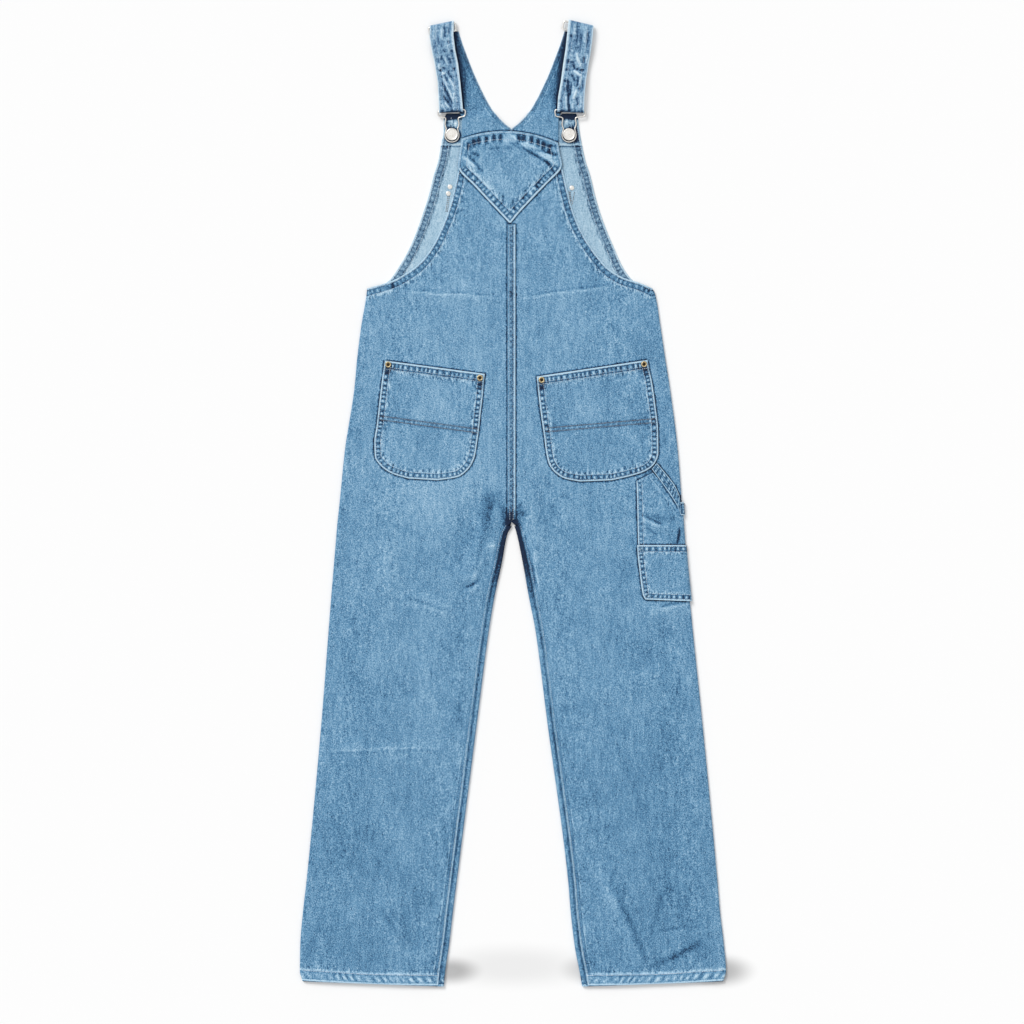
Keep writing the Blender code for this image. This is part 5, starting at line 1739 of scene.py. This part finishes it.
@dataclass
class Strap:
    """A shoulder strap: the piece cut on with the back, and the wide one folded over slider and buckle.

    Attributes:
        side: Its side.
        cloth: Thickness of the wide strap.
        low_cloth: Thickness of the piece cut on with the back.
        length: Length of the wide strap between its folds.
        fold: Radius of its middle layer in the folds.
        top_z: Heights of its two layers at the top fold.
        end_z: Heights of its two layers at the end fold.
        sag_z: Height of its upper layer between the folds.
        under: How far its lower layers run back from the folds.
    """

    side: Side
    cloth: float = 1.8
    low_cloth: float = 1.4
    length: float = 134.0
    fold: float = 2.4
    top_z: tuple[float, float] = (2.6, 7.4)
    end_z: tuple[float, float] = (3.3, 8.1)
    sag_z: float = 5.4
    under: float = 30.0

    def edges(self, down: Array) -> Array:
        """Outer x and h, inner x and h of the wide strap at distances from its top fold."""
        table = WIDE_STRAPS[self.side]
        return np.stack([np.interp(down, table[:, 0], table[:, c]) for c in range(1, 5)], axis=-1)

    def outline(self) -> Array:
        """Closed outline of the wide strap."""
        return outline_of(self.edges(np.linspace(0, self.length, 20)))

    def low_rows(self) -> Array:
        """Rows of the piece cut on with the back, from the patch up."""
        if self.side is Side.LEFT:
            return SHOULDER
        outer_x, outer_h, inner_x, inner_h = SHOULDER.T
        trim = 7.0 * (1 - smooth((outer_h - 1290) / 90))
        flip = 2 * CENTRE_X
        return np.column_stack([flip - outer_x - trim / 2, outer_h, flip - inner_x, inner_h])

    def shoulder(self, finish: Material, thread: Material, over: list[Array]) -> None:
        """Makes the piece cut on with the back.

        Args:
            finish: The denim.
            thread: The sewing thread.
            over: Outlines of what lies on it.
        """
        rows = resampled(self.low_rows(), spaced(190, 1.8, (False, True)))
        grid = ruled(rows, spaced(60, 1.7))
        x, h = grid[..., 0], grid[..., 1]
        foot = Body.strap_top(h) - self.low_cloth
        wide = self.edges(np.clip(1447 - h, 0, self.length))
        beside = np.abs(x - wide[..., 2])
        # Painted shade beside the wide strap's inner edge, growing towards the top
        shade = -0.5 * peak(beside, 7) * smooth((h - 1300) / 40) - 0.16 * smooth((h - 1290) / 110)
        paths = [SeamPath(rows[:, 2:4], 6.5, 0.5, 0.12)]
        wall = laid(f"shoulder_strap_{self.side}_cloth", grid, foot, self.low_cloth, paths, shade, over)
        dressed(wall, finish, [Stitching([(rows[:, 2:4], 1.7)], thread)])

    def path(self) -> Array:
        """The wide strap's middle layer from the side, as distance from its top fold and z."""
        half = self.cloth / 2
        turn = np.linspace(0, math.pi, 15)
        top = (self.fold + half, sum(self.top_z) / 2)
        end = (self.length - self.fold - half, sum(self.end_z) / 2)
        tail = np.linspace(self.under, top[0], 12)[:-1]
        first = np.column_stack([tail, np.full(len(tail), self.top_z[0])])
        over_top = np.column_stack([top[0] - self.fold * np.sin(turn), top[1] - self.fold * np.cos(turn)])
        t = np.linspace(0, 1, 92)[1:-1]
        level = self.top_z[1] + (self.end_z[1] - self.top_z[1]) * t
        sag = 0.5 - 0.5 * np.cos(math.tau * smooth((t - 0.08) / 0.84))
        run = np.column_stack([top[0] + (end[0] - top[0]) * t, level + (self.sag_z - level) * sag])
        under_end = np.column_stack([end[0] + self.fold * np.sin(turn), end[1] + self.fold * np.cos(turn)])
        back = np.linspace(end[0], self.length - self.under, 12)[1:]
        drop = 0.4 * (end[0] - back) / (end[0] - back[-1])
        last = np.column_stack([back, self.end_z[0] - drop])
        return np.concatenate([first, over_top, run, under_end, last])

    def rippled(self, across: Array, down: Array) -> Array:
        """Lift of the wide strap's outer face from its puckers, in millimetres.

        Args:
            across: Millimetres from the outer edge.
            down: Millimetres from the top fold.

        Returns:
            The lift.
        """
        total = np.zeros(across.shape)
        for *line, height in RIPPLES[self.side]:
            total += height * ridge(across, down, line, 0.15, 0.3, (0.5, 5, line[0]))
        return total

    def wide(self, finish: Material, thread: Material) -> None:
        """Makes the wide strap.

        Args:
            finish: The worn denim.
            thread: The sewing thread.
        """
        path = self.path()
        run = np.gradient(path, axis=0)
        run /= np.hypot(*run.T)[:, None]
        down, z = path.T
        travelled = np.concatenate([[0], np.cumsum(np.hypot(*np.diff(path, axis=0).T))])
        places = spaced(36, 1.2)
        away = np.minimum(places, 1 - places) * 36
        layers = []
        for offset in (-self.cloth / 2, self.cloth / 2):
            at = down - offset * run[:, 1]
            edges = self.edges(at)
            grid = ruled(edges, places)
            height = z + offset * run[:, 0]
            if offset > 0:
                across = places[None, :] * 36 + 0 * grid[..., 0]
                number = np.arange(len(path))
                upper = smooth((number - 20) / 6) * smooth((len(path) - 20 - number) / 6)
                lift = self.rippled(across, at[:, None] + 0 * across) * upper[:, None]
                lift -= (1 - rolled(away, 0.8))[None, :] * 0.9 * np.sign(run[:, 0])[:, None]
                height = height[:, None] + lift
            else:
                lift = 0 * grid[..., 0]
                height = height[:, None] + lift
            layers.append(np.dstack([grid, height + 0 * grid[..., 0]]))
        inner_half = places > 0.5
        along = travelled[:, None] + 5.7 * inner_half + 0 * lift
        beside = np.where(inner_half, away * 0.5, away * 1.1)[None, :] + 0 * lift
        lines = np.where(beside < 1.6, 0.9, 0.3)
        seam = np.dstack([along, beside, lines, 0.2 + 0 * lift])
        # Painted light and shade of the puckers, paler where they rise, and painted shade at the end fold
        shade = 0.37 * self.rippled(across, down[:, None] + 0 * across) * upper[:, None]
        shade -= 0.45 * peak(down[:, None] - 134, 3.5)
        wall = Wall(f"wide_strap_{self.side}_cloth", *layers, seam, shade, contact_of([], shade, shade))
        edges = self.edges(np.linspace(4, self.length - 4, 20))
        rows = [(edge, inset) for edge in (edges[:, :2], edges[:, 2:4]) for inset in (2.6, 8.5)]
        dressed(wall, finish, [Stitching(rows, thread)], slot="worn_denim")


@dataclass(frozen=True)
class PlatedMetal:
    """Steel wire or sheet with a thin bright or aged plating, rubbed smooth by use.

    Attributes:
        name: The material's name.
        colour: Colour of the plating.
        aged: Colour where it has dulled.
        roughness: Of the bright parts.
    """

    name: str
    colour: str
    aged: str
    roughness: float

    def build(self) -> Material:
        """Makes the material.

        Returns:
            The material.
        """
        made, node, place = started(self.name)
        # Dull spots of a plating are 1 to 3 mm wide
        spots = node("TexNoise", place, Scale=600.0, Detail=3.0, Roughness=0.6)
        colour = set_ramp(node("ValToRGB", spots), [(0.35, self.aged), (0.62, self.colour)])
        # Painted reflection: round wire is darkened towards its sides, as a mirror of a dim room would show
        # it
        facing = node("LayerWeight", 0.5).outputs["Facing"]
        rim = set_ramp(node("ValToRGB", facing), [(0.35, 1.0), (0.75, 0.3), (1.0, 0.12)])
        colour = node("VectorMath", colour, rim, operation="MULTIPLY")
        rough = node("MapRange", spots, 0.35, 0.65, self.roughness + 0.18, self.roughness)
        bump = node("Bump", Strength=0.15, Distance=0.0002, Height=spots)
        shader = node("BsdfPrincipled", colour, Metallic=1.0, Roughness=rough, Normal=bump)
        node("OutputMaterial", shader)
        return made


def wire(name: str, points: Array, radius: float, finish: Material) -> Piece:
    """A closed loop of round wire through its points, on a smooth curve.

    Args:
        name: The piece's name.
        points: Its bends, x, h and z.
        radius: Radius of the wire.
        finish: Its metal.

    Returns:
        The piece.
    """
    count = len(points)
    t = np.arange(count * 5) / 5
    k = t.astype(int)
    f = (t - k)[:, None]
    p = [points[(k + j) % count] for j in (-1, 0, 1, 2)]
    line = 0.5 * (
        2 * p[1] + (p[2] - p[0]) * f + (2 * p[0] - 5 * p[1] + 4 * p[2] - p[3]) * f**2
        + (3 * p[1] - p[0] - 3 * p[2] + p[3]) * f**3
    )
    along = np.roll(line, -1, axis=0) - np.roll(line, 1, axis=0)
    along /= np.linalg.norm(along, axis=1)[:, None]
    side = np.cross(along, [0.0, 0.0, 1.0])
    side /= np.linalg.norm(side, axis=1)[:, None]
    up = np.cross(side, along)
    angles = np.linspace(0, math.tau, 13)[:-1]
    ring = side[:, None] * np.cos(angles)[None, :, None] + up[:, None] * np.sin(angles)[None, :, None]
    grid = line[:, None] + radius * ring
    rows, columns = grid.shape[:2]
    ids = np.arange(rows * columns).reshape(rows, columns)
    right, above = np.roll(ids, -1, axis=1), np.roll(ids, -1, axis=0)
    quads = np.stack([ids, right, np.roll(right, -1, axis=0), above], axis=-1).reshape(-1, 4)
    mesh = bpy.data.meshes.new(name)
    mesh.from_pydata(placed(grid.reshape(-1, 3)), [], quads[:, ::-1])
    mesh.shade_smooth()
    return linked(name, mesh, finish)


def turned(
    name: str, profile: Array, place: tuple[float, float, float], finish: Material, steps: int = 40,
) -> Piece:
    """A round piece, turned from a profile of radii and heights, with its axis upright.

    Args:
        name: The piece's name.
        profile: Radii and heights, from the middle of its foot to the middle of its top.
        place: x, h and z of its foot.
        finish: Its metal.
        steps: Sides of each ring.

    Returns:
        The piece.
    """
    angles = np.linspace(0, math.tau, steps + 1)[:-1]
    radii, heights = np.maximum(profile[:, 0], 0.01), profile[:, 1]
    x = place[0] + radii[:, None] * np.cos(angles)
    h = place[1] + radii[:, None] * np.sin(angles)
    z = place[2] + heights[:, None] + 0 * x
    ids = np.arange(x.size).reshape(x.shape)
    faces = tube(ids).tolist() + [ids[0, ::-1].tolist(), ids[-1].tolist()]
    mesh = bpy.data.meshes.new(name)
    mesh.from_pydata(placed(np.dstack([x, h, z]).reshape(-1, 3)), [], faces)
    mesh.shade_smooth()
    mesh.set_sharp_from_angle(angle=math.radians(40))
    return linked(name, mesh, finish)


def fitted(piece: Piece, node: str, slot: str) -> None:
    """Attaches a metal piece to the root and hides the solid that it stands for.

    Args:
        piece: The piece.
        node: The solid.
        slot: Name of its finish's slot, for the log.
    """
    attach(piece, "root")
    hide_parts(node)
    LOG.info("%s: in %s", piece.name, slot)


@dataclass
class Fastening:
    """The slider, buckle and button of one strap.

    Attributes:
        strap: The strap that they hold.
        button: x and h of the button.
        shows: How far the slider shows past the strap's inner edge.
        slider_size: Width and depth of the slider's wire.
        slider_wire: Diameter of the slider's wire.
        buckle_wire: Diameter of the buckle's wire.
    """

    strap: Strap
    button: tuple[float, float]
    shows: float
    slider_size: tuple[float, float] = (42.0, 14.4)
    slider_wire: float = 2.4
    buckle_wire: float = 2.2

    SHOULDER = ((-0.8, 28.4, 5.5), (-3.0, 26.9, 5.5))
    BAR_END = ((9.0, 0.0), (2.8, 0.0), (0.8, 0.8), (0.0, 2.8))
    NECK = (
        (13.0, 25.9, 5.4), (10.0, 24.6, 5.2), (9.4, 22.0, 4.8), (10.4, 17.0, 4.0), (9.8, 12.2, 3.6),
        (8.5, 8.8, 3.5), (9.3, 4.5, 3.5), (10.3, -1.0, 3.5), (9.3, -5.8, 3.5), (5.8, -9.6, 3.5),
    )
    BUTTON = np.array([
        (0, 2.4), (3.6, 2.4), (3, 3), (3, 4.9), (8.4, 4.9), (8.9, 5.05), (9.25, 5.5), (9.3, 6),
        (9.15, 6.5), (8.8, 6.85), (8.3, 7), (7.8, 6.95), (7.3, 6.7), (6.6, 6.62), (4.5, 6.8),
        (2, 7), (0, 7.05),
    ])

    def slider(self, finish: Material) -> None:
        """Makes the slider inside the strap's top fold.

        Args:
            finish: The metal.
        """
        at = self.strap.edges(np.array(self.strap.fold + self.strap.cloth / 2))
        across = at[2:4] - at[:2]
        size = np.hypot(*across)
        unit = across / size
        inward = -self.strap.side.outward
        below = np.array([unit[1], -unit[0]]) * inward
        far = size + self.shows - self.slider_wire / 2
        near = far - (self.slider_size[0] - self.slider_wire)
        deep, r = self.slider_size[1] - self.slider_wire, 2.5
        corners = ((far - r, deep - r, 0), (near + r, deep - r, 90), (near + r, r, 180), (far - r, r, 270))
        points = []
        for u, v, start in corners:
            for turn in (0, 30, 60, 90):
                a = math.radians(start + turn)
                x, h = at[:2] + unit * (u + r * math.cos(a)) + below * (v + r * math.sin(a))
                points.append((x, h, sum(self.strap.top_z) / 2))
        node = "slider_" + self.strap.side
        piece = wire(node + "_wire", np.array(points), self.slider_wire / 2, finish)
        fitted(piece, node, "nickel_plated_steel")

    def buckle(self, finish: Material) -> None:
        """Makes the wire buckle: a bar through the strap, a neck and a keyhole round the button.

        Args:
            finish: The metal.
        """
        x, h = self.button
        strap = self.strap
        at = strap.edges(np.array(strap.length - strap.fold - strap.cloth / 2))
        slope = (at[3] - at[1]) / (at[2] - at[0])
        halves = []
        for end, clear in ((at[:2], 1.6), (at[2:4], 3.4)):
            way = 1 if end[0] > x else -1
            reach = abs(end[0] - x) + clear
            half = []
            for inset, drop in self.BAR_END:
                bar_x = x + way * (reach - inset)
                half.append((bar_x, end[1] + slope * (bar_x - end[0]) - drop, sum(strap.end_z) / 2))
            half += [(x + way * (reach + across), h + up, z) for across, up, z in self.SHOULDER]
            half += [(x + way * across, h + up, z) for across, up, z in self.NECK]
            halves.append(half)
        points = np.array(halves[0] + [(x, h - 11.2, 3.5)] + halves[1][::-1])
        node = "buckle_" + strap.side
        piece = wire(node + "_wire", points, self.buckle_wire / 2, finish)
        fitted(piece, node, "nickel_plated_steel")

    def build(self, finish: Material) -> None:
        """Makes the slider, the buckle and the button.

        Args:
            finish: The metal.
        """
        self.slider(finish)
        self.buckle(finish)
        node = "button_" + self.strap.side
        piece = turned(node + "_cap", self.BUTTON, (*self.button, 0.0), finish, 64)
        fitted(piece, node, "nickel_plated_steel")


@dataclass
class Rivets:
    """The rivets at the mouths of the hip pockets, and the caps of the bib pocket's rivets."""

    POCKET = {
        "rivet_left_outer": (-187.0, 932.0),
        "rivet_left_inner": (-49.5, 912.0),
        "rivet_right_inner": (42.8, 909.0),
        "rivet_right_outer": (196.4, 932.5),
    }
    BIB = {
        "bib_rivet_left": (-94.5, 1198.5),
        "bib_rivet_left_lower": (-97.0, 1188.5),
        "bib_rivet_right": (88.2, 1197.0),
    }
    RING = np.array([
        (0, 0), (4.2, 0), (4.6, 0.35), (4.55, 0.7), (4.2, 1.05), (3.7, 1.25), (3.2, 1.2), (2.8, 0.9),
        (2.5, 0.35), (0, 0.3),
    ])
    POST = np.array([(0, 0.3), (2.35, 0.3), (2.3, 0.5), (1.5, 0.55), (1.2, 0.85), (0, 0.95)])
    CAP = np.array([(0, 0), (3.4, 0), (3.6, 0.25), (3.4, 0.6), (2.6, 0.85), (1.2, 0.9), (0, 0.9)])

    def build(self, brass: Material, dark: Material, nickel: Material) -> None:
        """Makes every rivet on the cloth that carries it, the pocket rivets with their dark posts.

        Args:
            brass: The metal of the pocket rivets.
            dark: The metal of their posts.
            nickel: The metal of the bib's caps.
        """
        for node, (x, h) in self.POCKET.items():
            seat = float(Body.top(x, h)) + 2 * LAY_GAP + CLOTH + 0.8
            fitted(turned(node + "_ring", self.RING, (x, h, seat), brass), node, "antique_brass")
            post = turned(node + "_post", self.POST, (x, h, seat), dark, 24)
            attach(post, "root")
        for node, (x, h) in self.BIB.items():
            seat = float(Body.bib_foot(x, h)) + CLOTH + SEAM_GAP
            fitted(turned(node + "_cap", self.CAP, (x, h, seat), nickel, 28), node, "nickel_plated_steel")


@dataclass
class Studio:
    """The pale floor, the soft lights and the camera straight above.

    Attributes:
        view_width: Width of what the camera sees on the floor, in metres.
        view_height: Height of the camera, in metres.
        key_energy: Strength of the key light.
        sky: Strength of the sky.
        greys: Soft shadows painted on the paper beside the hems: x, y, reach across, reach up, depth.
    """

    view_width: float = 1.536
    view_height: float = 6.0
    key_energy: float = 1.75
    sky: float = 0.62
    greys: tuple[tuple[float, ...], ...] = (
        (0.0, -0.695, 0.16, 0.042, 0.13), (-0.094, -0.702, 0.055, 0.026, 0.42),
        (0.112, -0.700, 0.05, 0.028, 0.24), (0.312, -0.702, 0.06, 0.03, 0.46),
    )

    def paper(self) -> Material:
        """The floor's paper, dull and almost white, with soft shadows painted on it beside the hems."""
        made, node, place = started("matt white paper")
        shade = 0.0
        for x, y, wide, high, amount in self.greys:
            grey = node("Mapping", place, vector_type="TEXTURE", Location=(x, y, 0), Scale=(wide, high, 1))
            grey = node("TexGradient", grey, gradient_type="SPHERICAL")
            grey = node("MapRange", grey, 0.0, 0.8, 0.0, amount, interpolation_type="SMOOTHSTEP")
            shade = node("Math", grey, shade, operation="ADD")
        shade = node("Math", shade, 0.6, operation="MINIMUM")
        white = linear("#f7f7f7")[0]
        white = node("Math", shade, -white, white, operation="MULTIPLY_ADD")
        shader = node("BsdfPrincipled", white, Roughness=0.95, Specular_IOR_Level=0.0)
        node("OutputMaterial", shader)
        return made

    def build(self) -> None:
        """Makes the floor, lights, sky and camera."""
        mesh = bpy.data.meshes.new("floor")
        mesh.from_pydata([(-6, -6, 0), (6, -6, 0), (6, 6, 0), (-6, 6, 0)], [], [(0, 1, 2, 3)])
        floor = linked("floor", mesh, self.paper())
        camera = bpy.data.objects.new("camera", bpy.data.cameras.new("camera"))
        camera.data.lens = camera.data.sensor_width * self.view_height / self.view_width
        camera.data.clip_end = 50
        camera.location = (-0.0015, -0.0135, self.view_height)
        bpy.context.scene.collection.objects.link(camera)
        bpy.context.scene.camera = camera
        sun = bpy.data.lights.new("key", "SUN")
        sun.energy, sun.angle = self.key_energy, math.radians(24)
        lamp = bpy.data.objects.new("key", sun)
        lamp.rotation_mode = "QUATERNION"
        lamp.rotation_quaternion = Vector((0.62, -0.72, -0.78)).to_track_quat("-Z", "Y")
        bpy.context.scene.collection.objects.link(lamp)
        world = bpy.data.worlds.new("studio")
        world.use_nodes = True
        tree = world.node_tree
        node = partial(add_node, tree)
        up = node("SeparateXYZ", node("TexCoord").outputs["Generated"]).outputs["Z"]
        strength = node("MapRange", up, 0.2, 1.0, self.sky * 0.55, self.sky * 1.55)
        tree.links.new(strength.outputs[0], tree.nodes["Background"].inputs["Strength"])
        tree.nodes["Background"].inputs["Color"].default_value = (1, 1, 1, 1)
        bpy.context.scene.world = world
        bpy.context.scene.view_settings.view_transform = "Standard"


def main() -> None:
    """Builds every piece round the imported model."""
    logging.basicConfig(level=logging.INFO, format="%(name)s: %(message)s")
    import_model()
    Studio().build()
    denim = Denim("indigo denim, washed", "#2b5479", "#5e91b6", "#b7d5e8").build()
    pale = Thread("cotton thread, washed pale", "#8eabc3", "#d3e1ec").build()
    brown = Thread("cotton thread, faded brown", "#54555e", "#8d8b8d").build()
    pockets = {side: HipPocket(side) for side in Side}
    patch, centre_seam, side_pocket = Patch(), CentreSeam(), SidePocket()
    over = [patch.outline(), centre_seam.outline()]
    legs = Legs(over={
        Side.LEFT: [pockets[Side.LEFT].outline(), *over],
        Side.RIGHT: [pockets[Side.RIGHT].outline(), *over, *side_pocket.outlines()],
    })
    for side in Side:
        legs.back(side, denim, pale)
        legs.front(side, denim)
        pockets[side].build(denim, pale, brown)
    patch.build(denim, pale)
    centre_seam.build(denim, pale)
    side_pocket.build(denim, pale)
    reverse = Denim("indigo denim, reverse side", "#4a7192", "#9fc0d5", "#e0edf4", 0.6).build()
    worn = Denim("indigo denim, worn", "#244d77", "#7aa3c2", "#d0e5f1", 0.95, crinkle=0.7).build()
    nickel = PlatedMetal("nickel-plated steel", "#fbf9f5", "#dcd8d0", 0.26).build()
    brass = PlatedMetal("antique brass", "#ead9b0", "#a48d62", 0.36).build()
    dark = PlatedMetal("brass, tarnished dark", "#4a3d2c", "#1f1a15", 0.5).build()
    bib = Bib()
    bib.build(reverse, pale, brown)
    bib.pocket(denim)
    places = {Side.LEFT: ((-91.5, 1277.0), 2.5), Side.RIGHT: ((84.0, 1277.0), 8.0)}
    for side, (button, shows) in places.items():
        strap = Strap(side)
        strap.shoulder(denim, brown, [strap.outline(), patch.outline()])
        strap.wide(worn, pale)
        Fastening(strap, button, shows).build(nickel)
    Rivets().build(brass, dark, nickel)


if __name__ == "__main__":
    main()
